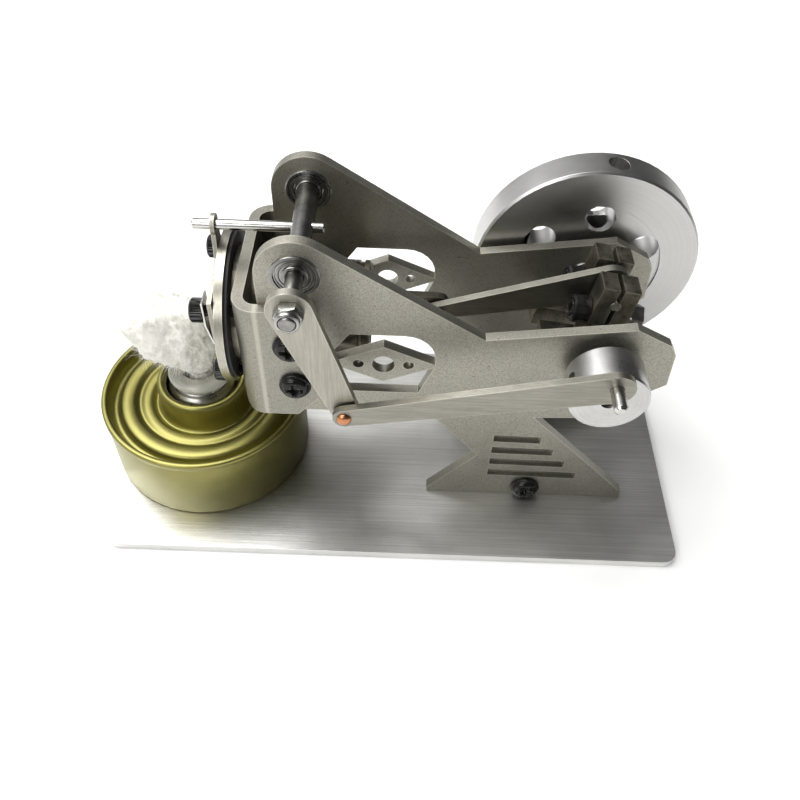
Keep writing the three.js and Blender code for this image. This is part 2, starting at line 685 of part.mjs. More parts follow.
function buildFlywheel() {
  const { radius, front, back, recessR, recess, screwR, screwAngle } = FLYWHEEL;
  const { holeRing, holeR, holes, firstHole } = FLYWHEEL;
  const chamfer = 0.4;
  const wheel = turnedY([
    [0, front + recess], [recessR, front + recess], [recessR, front], [radius - chamfer, front],
    [radius, front + chamfer], [radius, back - chamfer], [radius - chamfer, back], [0, back],
  ], CRANK.x, AXIS_Z, 60);
  const tools = [turnedY(bar(SHAFT_R + GAP, front - 1, back + 1), CRANK.x, AXIS_Z)];
  for (let i = 0; i < holes; i += 1) {
    const angle = THREE.MathUtils.degToRad(firstHole + (360 * i) / holes);
    const x = CRANK.x + holeRing * Math.cos(angle);
    const z = AXIS_Z + holeRing * Math.sin(angle);
    tools.push(turnedY(bar(holeR, front - 1, back + 1), x, z, 16));
  }
  const tilt = THREE.MathUtils.degToRad(90 - screwAngle);
  const middle = (front + back) / 2;
  const alongScrew = (geometry) => geometry.rotateY(tilt).translate(CRANK.x, middle, AXIS_Z);
  tools.push(alongScrew(turnedZ(bar(screwR, 0, radius + 1), 0, 0, 16)));
  add('flywheel', cut(wheel, ...tools), aluminium);
  const screw = grubScrew(screwR - GAP, 4.5).translate(0, 0, SHAFT_R + 0.15);
  add('flywheel_set_screw', alongScrew(screw), blackSteel);
}

// ---- Rocker and link -----------------------------------------------------------------------

function buildRocker() {
  const { thickR, end, rearEnd } = ROCKER_SHAFT;
  const shoulder = PLATE.inner - BEARING.faces - 0.15;
  const shaft = turnedY([
    [0, end], [SHAFT_R - 0.3, end], [SHAFT_R, end + 0.3], [SHAFT_R, -shoulder], [thickR, -shoulder],
    [thickR, shoulder], [SHAFT_R, shoulder], [SHAFT_R, rearEnd], [0, rearEnd],
  ], ROCKER.x, ROCKER.z);
  const rodHole = turnedX(bar(ROD.radius + GAP, ROCKER.x - 4, ROCKER.x + 4), 0, ROCKER.z, 24);
  add('rocker_shaft', cut(shaft, rodHole), darkSteel);
  const { radius, left, right } = ROD;
  const round = 0.25;
  add('valve_rod', turnedX([
    [0, left], [radius - round, left], [radius, left + round], [radius, right - round],
    [radius - round, right], [0, right],
  ], 0, ROCKER.z, 24), polishedSteel);

  const { back, front, bossR, endHalfWidth } = LEVER;
  const length = Math.hypot(RIVET.x - ROCKER.x, RIVET.z - ROCKER.z);
  const tilt = Math.atan2(RIVET.x - ROCKER.x, ROCKER.z - RIVET.z);
  const tip = -length - 2.5;
  const chamfer = 1.3;
  const shape = outline([
    ...arc(0, 0, bossR, 0, 180, 14),
    ...corners([-endHalfWidth, tip + chamfer], [chamfer - endHalfWidth, tip]),
    ...corners([endHalfWidth - chamfer, tip], [endHalfWidth, tip + chamfer]),
  ], [circle(0, 0, SHAFT_R + GAP), circle(0, -length, 1.3, 16)]);
  const lever = sheetXZ(shape, front, back).rotateY(-tilt).translate(ROCKER.x, 0, ROCKER.z);
  add('rocker_lever', lever, brushedSteel);
  const nut = nutGeometry(2.9, 2.7, SHAFT_R + GAP);
  add('rocker_nut', placed(nut, TO_FRONT, ROCKER.x, front - GAP, ROCKER.z), polishedSteel);
}

function buildLink() {
  const { back, front, pinEndR, rivetEndR } = LINK;
  const dx = DISC.pinX - RIVET.x;
  const dz = DISC.pinZ - RIVET.z;
  const length = Math.hypot(dx, dz);
  const shape = outline([
    ...arc(0, 0, rivetEndR, 90, 270, 10),
    ...arc(length, 0, pinEndR, -90, 90, 14),
  ], [circle(0, 0, RIVET.shankR + GAP, 16), circle(length, 0, DISC.pinR + RUNNING, 24)]);
  const link = sheetXZ(shape, front, back).rotateY(-Math.atan2(dz, dx)).translate(RIVET.x, 0, RIVET.z);
  add('link_bar', link, brushedSteel);
  const { x, z, headR, shankR, headHeight } = RIVET;
  const seat = front - GAP;
  add('link_rivet', turnedY([
    [0, seat - headHeight], [0.55 * headR, seat - 0.9 * headHeight],
    [0.9 * headR, seat - 0.5 * headHeight], [headR, seat], [shankR, seat], [shankR, back], [0, back],
  ], x, z, 24), copper);
}

// ---- Burner --------------------------------------------------------------------------------

function buildBurner() {
  const { x, y, radius, top, wall } = CAN;
  const floor = BASE.thick + GAP;
  const side = radius - 0.25;
  const seamBottom = top - 1.5;
  const can = [
    [0, floor + 0.6], [side - 3, floor + 0.6], [side - 2.4, floor], [side, floor], [side, seamBottom - GAP],
    [side - wall, seamBottom - GAP], [side - wall, floor + wall], [side - 2.2, floor + wall],
    [side - 2.8, floor + 0.6 + wall], [0, floor + 0.6 + wall],
  ];
  add('burner_can', turnedZ(can, x, y, BIG_ROUND), goldLacquer);

  const inside = NECK.inner;
  const seamInner = radius - 1.25;
  const lidTop = [
    [radius, seamBottom], [radius, top - 0.35], [radius - 0.35, top], [seamInner + 0.3, top],
    [seamInner, top - 0.3], [seamInner - 0.3, 15.9], [18.7, 15.9], [17.8, 17.3], [14.9, 17.3],
    [14, 16.3], [12.9, 16.7], [11.4, 16.7], [10.7, 15.7], [NECK.outer + 0.25, NECK.top - 1.2],
    [NECK.outer - 0.1, NECK.top], [inside + 0.2, NECK.top],
  ];
  const lidUnder = [
    [inside, NECK.top - 1.2], [NECK.outer - 0.5, NECK.top - 1.3], [10.1, 15], [11.4, 15], [12, 16],
    [13.3, 15.6], [14.5, 15.6], [15.3, 16.7], [17.4, 16.7], [18.4, 15.1], [seamInner - 0.1, 15.4],
    [seamInner + 0.1, seamBottom],
  ];
  const lid = [...lidTop, ...lidUnder, [radius, seamBottom]];
  add('burner_lid', turnedZ(lid, x, y, BIG_ROUND), goldLacquer);

  const clear = inside - RUNNING;
  add('wick_holder', turnedZ([
    [4.1, 12], [4.9, 12], [4.9, 19.2], [clear, 19.2], [clear, 20], [5.9, 20], [5.9, 22.3], [5.6, 22.7],
    [4.4, 22.7], [4.1, 22.4], [4.1, 12],
  ], x, y), polishedSteel);
  const beadMiddle = 24.4;
  const bead = arc(5.35, beadMiddle, 1.35, -90, 90, 6).map((p) => [p.x, p.y]);
  add('wick_collar', turnedZ([
    [4.15, beadMiddle - 1.35], ...bead, [4.15, beadMiddle + 1.35], [4.15, beadMiddle - 1.35],
  ], x, y), clearGlass);

  add('cotton_wick', cottonWad(x, y), cotton);
}

// A wad of cotton that stands in the holder and leans away from the cylinder head.
function cottonWad(x, y) {
  const levels = [
    { z: 13, lean: 0, halfX: 2.6, halfY: 2.6 },
    { z: 25.9, lean: 0, halfX: 2.7, halfY: 2.7 },
    { z: 27.6, lean: -0.4, halfX: 3.1, halfY: 3.9 },
    { z: 31.5, lean: -2.6, halfX: 5.8, halfY: 4.8 },
    { z: 36, lean: -4.6, halfX: 7.5, halfY: 5 },
    { z: 39.8, lean: -4.9, halfX: 7.9, halfY: 4.6 },
    { z: 42, lean: -4.7, halfX: 6.6, halfY: 3.2 },
  ];
  const steps = 16;
  const positions = [];
  for (const { z, lean, halfX, halfY } of levels) {
    for (let i = 0; i < steps; i += 1) {
      const angle = (2 * Math.PI * i) / steps;
      positions.push(x + lean + halfX * Math.cos(angle), y + halfY * Math.sin(angle), z);
    }
  }
  const bottom = levels.length * steps;
  positions.push(x, y, levels[0].z, x + levels.at(-1).lean, y, levels.at(-1).z);
  const index = [];
  for (let i = 0; i < steps; i += 1) {
    const next = (i + 1) % steps;
    for (let level = 0; level + 1 < levels.length; level += 1) {
      const low = level * steps;
      const high = low + steps;
      index.push(low + i, low + next, high + next, low + i, high + next, high + i);
    }
    const last = (levels.length - 1) * steps;
    index.push(bottom, next, i, bottom + 1, last + i, last + next);
  }
  const geometry = new THREE.BufferGeometry();
  geometry.setAttribute('position', new THREE.Float32BufferAttribute(positions, 3));
  geometry.setIndex(index);
  geometry.computeVertexNormals();
  return geometry;
}

buildBase();
buildFootBlock();
buildSidePlates();
buildBracket();
buildCylinder();
buildValve();
buildPiston();
buildBearings();
buildCrank();
buildConrod();
buildEccentric();
buildFlywheel();
buildRocker();
buildLink();
buildBurner();

export default engine;
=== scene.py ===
"""The looks of a small flame-licker engine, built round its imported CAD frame."""

import math
import random

import bmesh
import bpy
from bpy.props import FloatProperty, FloatVectorProperty, IntProperty, PointerProperty
from mathutils import Matrix, Vector, noise


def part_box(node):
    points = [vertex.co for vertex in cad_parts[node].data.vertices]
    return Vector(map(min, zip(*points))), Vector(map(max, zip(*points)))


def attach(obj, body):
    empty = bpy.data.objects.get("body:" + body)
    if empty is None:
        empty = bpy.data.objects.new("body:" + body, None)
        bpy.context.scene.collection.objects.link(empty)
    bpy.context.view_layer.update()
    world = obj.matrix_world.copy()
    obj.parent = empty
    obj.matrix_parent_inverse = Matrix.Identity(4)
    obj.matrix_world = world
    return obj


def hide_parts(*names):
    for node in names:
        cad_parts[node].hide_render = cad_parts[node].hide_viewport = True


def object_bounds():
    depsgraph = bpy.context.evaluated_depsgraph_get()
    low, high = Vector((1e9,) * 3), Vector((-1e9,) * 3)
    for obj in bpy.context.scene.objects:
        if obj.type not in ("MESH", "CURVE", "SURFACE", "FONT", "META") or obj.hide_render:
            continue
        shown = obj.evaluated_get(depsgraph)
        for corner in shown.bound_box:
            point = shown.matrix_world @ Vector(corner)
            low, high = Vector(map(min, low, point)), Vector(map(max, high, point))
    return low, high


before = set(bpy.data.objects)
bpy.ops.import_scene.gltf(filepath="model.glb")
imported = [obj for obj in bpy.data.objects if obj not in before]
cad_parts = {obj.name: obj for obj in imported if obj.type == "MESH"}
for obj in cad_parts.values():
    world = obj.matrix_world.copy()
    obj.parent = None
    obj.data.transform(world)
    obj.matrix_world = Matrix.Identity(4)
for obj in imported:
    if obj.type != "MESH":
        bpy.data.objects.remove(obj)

bl_info = {
    "name": "Flame-licker engine",
    "version": (1, 0, 0),
    "blender": (4, 5, 0),
    "location": "View3D > Sidebar > Engine",
    "description": "Builds the detailed pieces of a small flame-licker engine",
    "category": "Object",
}

MM = 0.001
CAD_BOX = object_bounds()

# Millimetres
M3_SHANK = 1.4
HEAD_SCREW_SHANK = 1.15
CLAMP_SHANK = 1.2
BEARING_BORE = 1.52
WICK_BORE = 4.15
CAMERA_PLACE = (-0.5, -115.1, 151.3)

CAMERA_TURN = (0.64, 49.37, -2.58)          # degrees: heading, downward tilt, roll
KEY_PLACE = (-0.24, 0.10, 0.58)
FRONT_PLACE = (-0.35, -0.55, 0.45)
LIT_POINT = (0, 0, 0.035)
SKY_WAY = (-0.8, 0.3, 0.52)                 # towards the brightest part of the surroundings
FLOOR_HALF = 1.6
TRIM_AT = Vector((-0.0478, 0, 0.0437))      # a point of the plane that holds the cotton off the head
TRIM_WAY = Vector((-0.57, 0, 0.82))
AXES = {
    "+X": Vector((1, 0, 0)), "-X": Vector((-1, 0, 0)),
    "+Y": Vector((0, 1, 0)), "-Y": Vector((0, -1, 0)),
    "+Z": Vector((0, 0, 1)), "-Z": Vector((0, 0, -1)),
}


# ---- Properties ----------------------------------------------------------------------------

def length(name, text, default, low=0.0, high=1.0):
    """A size in metres."""
    return FloatProperty(
        name=name, description=text, default=default, min=low, max=high,
        unit="LENGTH", subtype="DISTANCE", precision=5,
    )


def colour(name, text, default):
    """A linear colour."""
    return FloatVectorProperty(
        name=name, description=text, default=default, min=0.0, max=1.0, size=3, subtype="COLOR",
    )


class EngineSizes(bpy.types.PropertyGroup):
    """Sizes of the fine detail."""
    sheet_edge: length("Sheet edge", "Width of the broken edges on sheet parts", 0.00014)
    turned_edge: length("Turned edge", "Width of the broken edges on turned parts", 0.00025)
    thread_pitch: length("Thread pitch", "Pitch of the screw threads", 0.00045)
    recess_width: length("Recess width", "Width of a cross recess's arms", 0.00105)
    fibre_length: length("Fibre length", "Length of the cotton's loose fibres", 0.0034)
    fibre_width: length("Fibre width", "Radius of one bundle of cotton fibres", 0.000032)
    fibres: IntProperty(
        name="Fibres", description="Number of loose cotton fibres", default=3000, min=0, max=6000,
    )
    rounds: IntProperty(
        name="Rounds", description="Sides of a large turned part", default=128, min=24, max=256,
    )


class EngineColours(bpy.types.PropertyGroup):
    """Colours of the finishes."""
    base: colour("Base", "Brushed base plate", (0.74, 0.735, 0.71))
    plates: colour("Plates", "Satin side plates and bracket", (0.40, 0.385, 0.33))
    bright: colour("Bright", "Polished steel", (0.70, 0.69, 0.66))
    aluminium: colour("Aluminium", "Turned aluminium", (0.55, 0.546, 0.534))
    dark: colour("Dark", "Darkened steel", (0.19, 0.175, 0.14))
    black: colour("Black", "Black oxide screws", (0.008, 0.0078, 0.0075))
    copper: colour("Copper", "Rivet", (0.50, 0.22, 0.11))
    lacquer: colour("Lacquer", "Gold lacquer on the burner", (0.26, 0.24, 0.075))
    cotton: colour("Cotton", "Cotton wick", (0.90, 0.885, 0.82))
    floor: colour("Floor", "Studio floor", (0.93, 0.93, 0.925))


class EngineStage(bpy.types.PropertyGroup):
    """The studio."""
    lens: FloatProperty(
        name="Lens", description="Focal length of the camera", default=36.63, min=10, max=200,
        unit="CAMERA",
    )
    key_power: FloatProperty(
        name="Key power", description="Power of the main soft light", default=4.8, min=0,
        unit="POWER",
    )
    fill_power: FloatProperty(
        name="Fill power", description="Power of the front light", default=2.6, min=0, unit="POWER",
    )
    world: FloatProperty(
        name="World", description="Strength of the surrounding light", default=0.7, min=0, max=5,
    )


# ---- Materials -----------------------------------------------------------------------------

class Shader:
    """A node material with short calls for adding and linking its nodes."""

    def __init__(self, name):
        self.material = bpy.data.materials.new(name)
        self.material.use_nodes = True
        self.tree = self.material.node_tree
        self.surface = next(n for n in self.tree.nodes if n.type == "BSDF_PRINCIPLED")

    def add(self, kind, inputs=(), **settings):
        node = self.tree.nodes.new(kind)
        for key, value in settings.items():
            setattr(node, key, value)
        for key, value in dict(inputs).items():
            self.put(node.inputs[key], value)
        return node

    def put(self, socket, value):
        if isinstance(value, bpy.types.NodeSocket):
            self.tree.links.new(value, socket)
        else:
            socket.default_value = value

    def set(self, **inputs):
        for key, value in inputs.items():
            self.put(self.surface.inputs[key.replace("_", " ")], value)

    def place(self, scale=(1, 1, 1), turn=(0, 0, 0), centre=(0, 0, 0)):
        """Object coordinates, moved so that centre is at nothing, then turned and scaled."""
        coords = self.add("ShaderNodeTexCoord").outputs["Object"]
        moved = self.add("ShaderNodeVectorMath", {0: coords, 1: centre}, operation="SUBTRACT")
        mapping = self.add("ShaderNodeMapping", {
            "Vector": moved.outputs[0], "Rotation": turn, "Scale": scale,
        })
        return mapping.outputs[0]

    def rings(self, centre, scale):
        """Coordinates that change only with the distance from a Y axis through centre."""
        coords = self.place(centre=centre)
        parts = self.add("ShaderNodeSeparateXYZ", {0: coords})
        flat = self.add("ShaderNodeCombineXYZ", {"X": parts.outputs["X"], "Y": parts.outputs["Z"]})
        radius = self.add("ShaderNodeVectorMath", {0: flat.outputs[0]}, operation="LENGTH")
        both = self.add("ShaderNodeCombineXYZ", {"X": radius.outputs["Value"], "Y": parts.outputs["Y"]})
        return self.add("ShaderNodeVectorMath", {0: both.outputs[0], 1: (scale,) * 3},
                        operation="MULTIPLY").outputs[0]

    def noise(self, vector, scale=1.0, detail=3.0, rough=0.55):
        return self.add("ShaderNodeTexNoise", {
            "Vector": vector, "Scale": scale, "Detail": detail, "Roughness": rough,
        }).outputs["Fac"]

    def spread(self, value, low, high, to_low=0.0, to_high=1.0):
        return self.add("ShaderNodeMapRange", {
            "Value": value, "From Min": low, "From Max": high, "To Min": to_low, "To Max": to_high,
        }).outputs[0]

    def mix(self, factor, one, other, blend="MIX"):
        node = self.add("ShaderNodeMix", data_type="RGBA", blend_type=blend)
        self.put(node.inputs[0], factor)
        self.put(node.inputs[6], one)
        self.put(node.inputs[7], other)
        return node.outputs[2]

    def sum(self, one, other, amount):
        """one + other * amount."""
        return self.add("ShaderNodeMath", {0: other, 1: amount, 2: one},
                        operation="MULTIPLY_ADD").outputs[0]

    def bump(self, height, distance, strength=1.0, under=None):
        inputs = {"Height": height, "Distance": distance, "Strength": strength}
        if under is not None:
            inputs["Normal"] = under
        return self.add("ShaderNodeBump", inputs).outputs[0]

    def edges(self, radius):
        """1 on a convex or concave edge, 0 away from it."""
        bevel = self.add("ShaderNodeBevel", {"Radius": radius}, samples=4)
        here = self.add("ShaderNodeNewGeometry").outputs["Normal"]
        same = self.add("ShaderNodeVectorMath", {0: bevel.outputs[0], 1: here}, operation="DOT_PRODUCT")
        return self.spread(same.outputs["Value"], 1.0, 0.9)


def rgba(values, gain=1.0):
    return (*(min(1.0, v * gain) for v in values), 1.0)


def metal(name, base, roughness, grain=(9000, 9000, 9000), turn=(0, 0, 0), depth=0.000012,
          stain=0.12, stain_scale=90.0, wear_and_highlight=0.25, rings_about=None, ring_scale=6000.0, spots=0.0,
          lines_tone=0.4):
    """Bare or treated metal with its grain and stains, and edges painted brighter: partly rubbed wear, partly
    painted highlight.
    """
    s = Shader(name)
    if rings_about is None:
        grain_at = s.place(scale=grain, turn=turn)
    else:
        grain_at = s.rings(rings_about, ring_scale)
    lines = s.noise(grain_at, scale=0.45, detail=5.0, rough=0.75)
    cloud = s.noise(s.place(), scale=stain_scale, detail=4.0, rough=0.6)
    fine = s.noise(s.place(), scale=2600.0, detail=2.0)
    tone = s.mix(s.spread(cloud, 0.3, 0.7), rgba(base, 1 - stain), rgba(base, 1 + stain))
    tone = s.mix(s.spread(lines, 0.35, 0.65, 0.0, lines_tone), tone, rgba(base, 0.5))
    if spots:
        speck = s.noise(s.place(), scale=950.0, detail=3.0, rough=0.75)
        tone = s.mix(s.spread(speck, 0.56, 0.68, 0.0, spots), tone, rgba(base, 0.12))
    # Edges painted brighter than the faces: partly rubbed wear, partly a painted highlight.
    if wear_and_highlight:
        tone = s.mix(s.spread(s.edges(0.00035), 0.0, 1.0, 0.0, wear_and_highlight), tone, rgba(base, 1.7))
    rough = s.sum(s.spread(cloud, 0.25, 0.75, roughness - 0.07, roughness + 0.07), lines, 0.10)
    height = s.sum(lines, fine, 0.35)
    s.set(Base_Color=tone, Roughness=rough, Metallic=1.0,
          Normal=s.bump(height, depth, 0.9))
    return s.material


def blasted(name, base, roughness=0.44, fold=None):
    """Sheet steel with a fine blasted skin, and a painted highlight line at X = fold where it starts to bend.
    """
    s = Shader(name)
    fine = s.noise(s.place(), scale=5200.0, detail=2.0, rough=0.6)
    coarse = s.noise(s.place(), scale=1300.0, detail=3.0, rough=0.6)
    cloud = s.noise(s.place(), scale=60.0, detail=4.0, rough=0.62)
    tone = s.mix(s.spread(cloud, 0.3, 0.7), rgba(base, 0.86), rgba(base, 1.12))
    tone = s.mix(s.spread(fine, 0.38, 0.64, 0.0, 0.6), tone, rgba(base, 0.48))
    tone = s.mix(s.spread(coarse, 0.64, 0.70, 0.0, 0.55), tone, rgba(base, 0.35))
    # A painted highlight line along the start of the bend.
    if fold is not None:
        across = s.add("ShaderNodeSeparateXYZ", {0: s.place(centre=(fold, 0, 0))}).outputs["X"]
        away = s.add("ShaderNodeMath", {0: across}, operation="ABSOLUTE").outputs[0]
        tone = s.mix(s.spread(away, 0.0002, 0.0006, 0.5, 0.0), tone, rgba(base, 1.7))
    # Edges painted brighter: partly rubbed wear, partly painted highlight.
    tone = s.mix(s.spread(s.edges(0.00035), 0.0, 1.0, 0.0, 0.55), tone, rgba(base, 1.9))
    rough = s.sum(s.spread(cloud, 0.25, 0.75, roughness - 0.06, roughness + 0.06), fine, 0.08)
    height = s.sum(fine, coarse, 0.8)
    s.set(Base_Color=tone, Roughness=rough, Metallic=1.0, Normal=s.bump(height, 0.000026, 0.9))
    return s.material


def lacquered(name, base):
    """Tinplate under a clear gold lacquer."""
    s = Shader(name)
    cloud = s.noise(s.place(), scale=70.0, detail=3.0)
    fine = s.noise(s.place(), scale=3600.0, detail=3.0)
    tone = s.mix(s.spread(cloud, 0.3, 0.7), rgba(base, 0.85), rgba(base, 1.14))
    tone = s.mix(s.spread(fine, 0.3, 0.7, 0.0, 0.25), tone, rgba(base, 0.55))
    # Edges painted brighter: partly rubbed wear, partly painted highlight.
    tone = s.mix(s.spread(s.edges(0.0003), 0.0, 1.0, 0.0, 0.4), tone, rgba(base, 1.7))
    rough = s.spread(cloud, 0.2, 0.8, 0.36, 0.46)
    s.set(Base_Color=tone, Roughness=rough, Metallic=1.0, Coat_Weight=0.15, Coat_Roughness=0.2,
          Normal=s.bump(fine, 0.000006, 0.6))
    return s.material


def oxide(name, base):
    """Black oxide on hardened screws, slightly oily, with painted glints on the edges."""
    s = Shader(name)
    cloud = s.noise(s.place(), scale=900.0, detail=3.0)
    tone = s.mix(s.spread(cloud, 0.3, 0.7), rgba(base, 0.7), rgba(base, 1.8))
    # Edges painted much lighter than the head: painted glints.
    tone = s.mix(s.spread(s.edges(0.0001), 0.0, 1.0, 0.0, 0.4), tone, rgba(base, 9.0))
    s.set(Base_Color=tone, Roughness=s.spread(cloud, 0.2, 0.8, 0.1, 0.24), Metallic=0.0,
          Specular_IOR_Level=0.25, Normal=s.bump(cloud, 0.000008, 0.5))
    return s.material


def fibre(name, base, core):
    """Cotton wool, matt. Only the core has a lumpy skin."""
    s = Shader(name)
    clump = s.noise(s.place(), scale=330.0, detail=5.0, rough=0.65)
    hair = s.noise(s.place(scale=(2600, 2600, 900)), detail=4.0, rough=0.7)
    tone = s.mix(s.spread(clump, 0.3, 0.7), rgba(base, 0.9), rgba(base, 1.1))
    tone = s.mix(s.spread(hair, 0.3, 0.7, 0.0, 0.25), tone, rgba(base, 0.8))
    s.set(Base_Color=tone, Roughness=s.spread(hair, 0.0, 1.0, 0.9, 1.0), Sheen_Weight=0.35,
          Sheen_Roughness=0.6, Specular_IOR_Level=0.15)
    if core:
        s.set(Normal=s.bump(s.sum(clump, hair, 0.6), 0.0005, 0.8))
    return s.material


def rubbery(name, shade):
    """Matt black rubber for the gasket and the nylon ring; on the gasket the black also stands for painted
    shade in the gap behind the head.
    """
    s = Shader(name)
    fine = s.noise(s.place(), scale=2200.0, detail=3.0)
    tone = s.mix(fine, rgba((shade,) * 3, 0.7), rgba((shade,) * 3, 1.6))
    s.set(Base_Color=tone, Roughness=s.spread(fine, 0.0, 1.0, 0.5, 0.75),
          Normal=s.bump(fine, 0.00003, 0.6))
    return s.material


def clear_glass(name):
    """The smoky glass collar on the wick tube."""
    s = Shader(name)
    smear = s.noise(s.place(), scale=420.0, detail=3.0)
    tone = s.mix(smear, (0.66, 0.65, 0.56, 1), (0.82, 0.81, 0.73, 1))
    s.set(Base_Color=tone, Roughness=s.spread(smear, 0.3, 0.8, 0.08, 0.2), Transmission_Weight=0.6,
          IOR=1.4, Normal=s.bump(smear, 0.00002, 0.3))
    return s.material


def floor_paint(name, base):
    """A plain pale floor with the faintest unevenness."""
    s = Shader(name)
    cloud = s.noise(s.place(), scale=6.0, detail=2.0)
    tone = s.mix(cloud, rgba(base, 0.985), rgba(base, 1.0))
    s.set(Base_Color=tone, Roughness=0.75, Specular_IOR_Level=0.2, Emission_Color=(1, 1, 1, 1),
          Emission_Strength=0.14)
    return s.material


# Finish: the material's name, its colour and that colour's gain, its roughness, and what is its own.
METALS = {
    "base_steel": ("brushed_base", "base", 1, 0.32, {
        "grain": (60, 6000, 6000), "depth": 0.00004, "stain": 0.14, "stain_scale": 32.0, "wear_and_highlight": 0.35,
        "lines_tone": 0.5}),
    "bar_steel": ("brushed_bar", "plates", 0.78, 0.36, {
        "grain": (300, 6000, 6000), "wear_and_highlight": 0.6, "stain": 0.14, "lines_tone": 0.5}),
    "head_steel": ("turned_head", "plates", 1.15, 0.30, {
        "grain": (5000, 900, 900), "wear_and_highlight": 0.4, "stain": 0.2, "stain_scale": 160}),
    "bright_steel": ("bright_steel", "bright", 0.8, 0.17, {
        "grain": (4000, 4000, 4000), "depth": 0.0000008, "wear_and_highlight": 0.2, "stain": 0.12, "stain_scale": 260,
        "lines_tone": 0.2}),
    "bearing_steel": ("bearing_steel", "bright", 0.36, 0.24, {
        "grain": (4000, 4000, 4000), "depth": 0.000001, "wear_and_highlight": 0.5, "stain": 0.1, "stain_scale": 400,
        "lines_tone": 0.15}),
    "shaft_steel": ("drawn_shaft", "bright", 0.36, 0.25, {
        "grain": (6000, 500, 6000), "depth": 0.000008, "wear_and_highlight": 0.3, "stain": 0.3, "stain_scale": 300}),
    "nut_steel": ("plated_nut", "bright", 0.5, 0.26, {
        "grain": (3000, 3000, 3000), "depth": 0.000004, "wear_and_highlight": 0.7, "stain": 0.25, "stain_scale": 320}),
    "dark_steel": ("dark_steel", "dark", 1.2, 0.38, {
        "grain": (5000, 5000, 900), "depth": 0.00002, "stain": 0.42, "stain_scale": 300, "wear_and_highlight": 1.0,
        "spots": 0.7}),
    "cylinder_steel": ("oiled_cylinder", "dark", 1.2, 0.30, {
        "grain": (7000, 400, 400), "depth": 0.00001, "stain": 0.4, "stain_scale": 220, "wear_and_highlight": 0.6}),
    "copper": ("copper", "copper", 1, 0.22, {
        "grain": (3000, 3000, 3000), "depth": 0.00001, "wear_and_highlight": 0.3, "stain": 0.2, "stain_scale": 500}),
}


class Finishes:
    """Every finish by name, each made when it is first asked for."""

    def __init__(self):
        self.made = {}

    def __call__(self, name):
        if name not in self.made:
            self.made[name] = self.plain(*METALS[name]) if name in METALS else getattr(self, name)()
        return self.made[name]

    def plain(self, name, colour_name, gain, roughness, own):
        base = [c * gain for c in getattr(self.colours(), colour_name)]
        return metal(name, base, roughness, **own)

    def colours(self):
        return bpy.context.scene.engine_colours

    def sheet_steel(self):
        return blasted("blasted_sheet", self.colours().plates)

    def bracket_steel(self):
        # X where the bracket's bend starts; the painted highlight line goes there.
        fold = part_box("cylinder_bracket")[0].x + 0.0044
        return blasted("blasted_bracket", [c * 0.84 for c in self.colours().plates], fold=fold)

    def lever_steel(self):
        low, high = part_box("rocker_lever")
        lean = math.atan2((high.x - low.x) * 0.35, high.z - low.z)
        return metal("brushed_lever", [c * 0.95 for c in self.colours().plates], 0.36,
                     grain=(6000, 6000, 300), turn=(0, lean, 0), wear_and_highlight=0.6, stain=0.14)

    def flywheel_metal(self):
        low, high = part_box("flywheel")
        return metal("turned_flywheel", self.colours().aluminium, 0.30, rings_about=(low + high) / 2,
                     depth=0.000004, stain=0.1, stain_scale=50, wear_and_highlight=0.3, lines_tone=0.14)

    def disc_metal(self):
        low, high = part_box("eccentric_disc")
        return metal("turned_disc", self.colours().aluminium, 0.26, rings_about=(low + high) / 2,
                     depth=0.000004, stain=0.1, stain_scale=120, wear_and_highlight=0.3, lines_tone=0.2)

    def black_oxide(self):
        return oxide("black_oxide", self.colours().black)

    def lacquer(self):
        return lacquered("gold_lacquer", self.colours().lacquer)

    def cotton(self):
        return fibre("cotton_core", self.colours().cotton, True)

    def loose_cotton(self):
        return fibre("cotton_fibre", self.colours().cotton, False)

    def gasket(self):
        # Near-black: a black gasket, and also painted shade for the narrow gap between head and bracket.
        return rubbery("gasket_black", 0.018)

    def nylon(self):
        return rubbery("nylon_ring", 0.03)

    def glass(self):
        return clear_glass("clear_glass")

    def floor(self):
        return floor_paint("pale_floor", self.colours().floor)


finish = Finishes()


# ---- Shapes --------------------------------------------------------------------------------

def faced(mesh, angle=30.0):
    """Smooth shading that stays sharp at edges steeper than angle."""
    mesh.shade_smooth()
    mesh.set_sharp_from_angle(angle=math.radians(angle))


def settle(piece, finish_name, body, slot_name, *nodes):
    """Gives a piece its finish and its body, and hides the CAD nodes that it stands for; the slot name is not
    used.
    """
    piece.data.materials.clear()
    piece.data.materials.append(finish(finish_name))
    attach(piece, body)
    if nodes:
        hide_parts(*nodes)
    return piece


def new_object(name, bm, angle=30.0):
    mesh = bpy.data.meshes.new(name)
    bm.to_mesh(mesh)
    bm.free()
    faced(mesh, angle)
    piece = bpy.data.objects.new(name, mesh)
    bpy.context.scene.collection.objects.link(piece)
    return piece


def rounded(piece, width, segments=2, angle=32.0):
    """Breaks the piece's sharp edges."""
    bevel = piece.modifiers.new("edges", "BEVEL")
    bevel.width = width
    bevel.segments = segments
    bevel.limit_method = "ANGLE"
    bevel.angle_limit = math.radians(angle)
    bevel.harden_normals = True
    bevel.use_clamp_overlap = True
    return piece


def applied(piece):
    """The piece with its modifiers worked into its mesh."""
    graph = bpy.context.evaluated_depsgraph_get()
    mesh = bpy.data.meshes.new_from_object(piece.evaluated_get(graph))
    piece.modifiers.clear()
    old = piece.data
    piece.data = mesh
    bpy.data.meshes.remove(old)
    return piece


def carved(piece, *cutters):
    """The piece with the cutters taken away from it."""
    for cutter in cutters:
        hole = piece.modifiers.new("hole", "BOOLEAN")
        hole.operation = "DIFFERENCE"
        hole.solver = "EXACT"
        hole.object = cutter
        bpy.context.view_layer.update()
        applied(piece)
        bpy.data.objects.remove(cutter)
    return piece


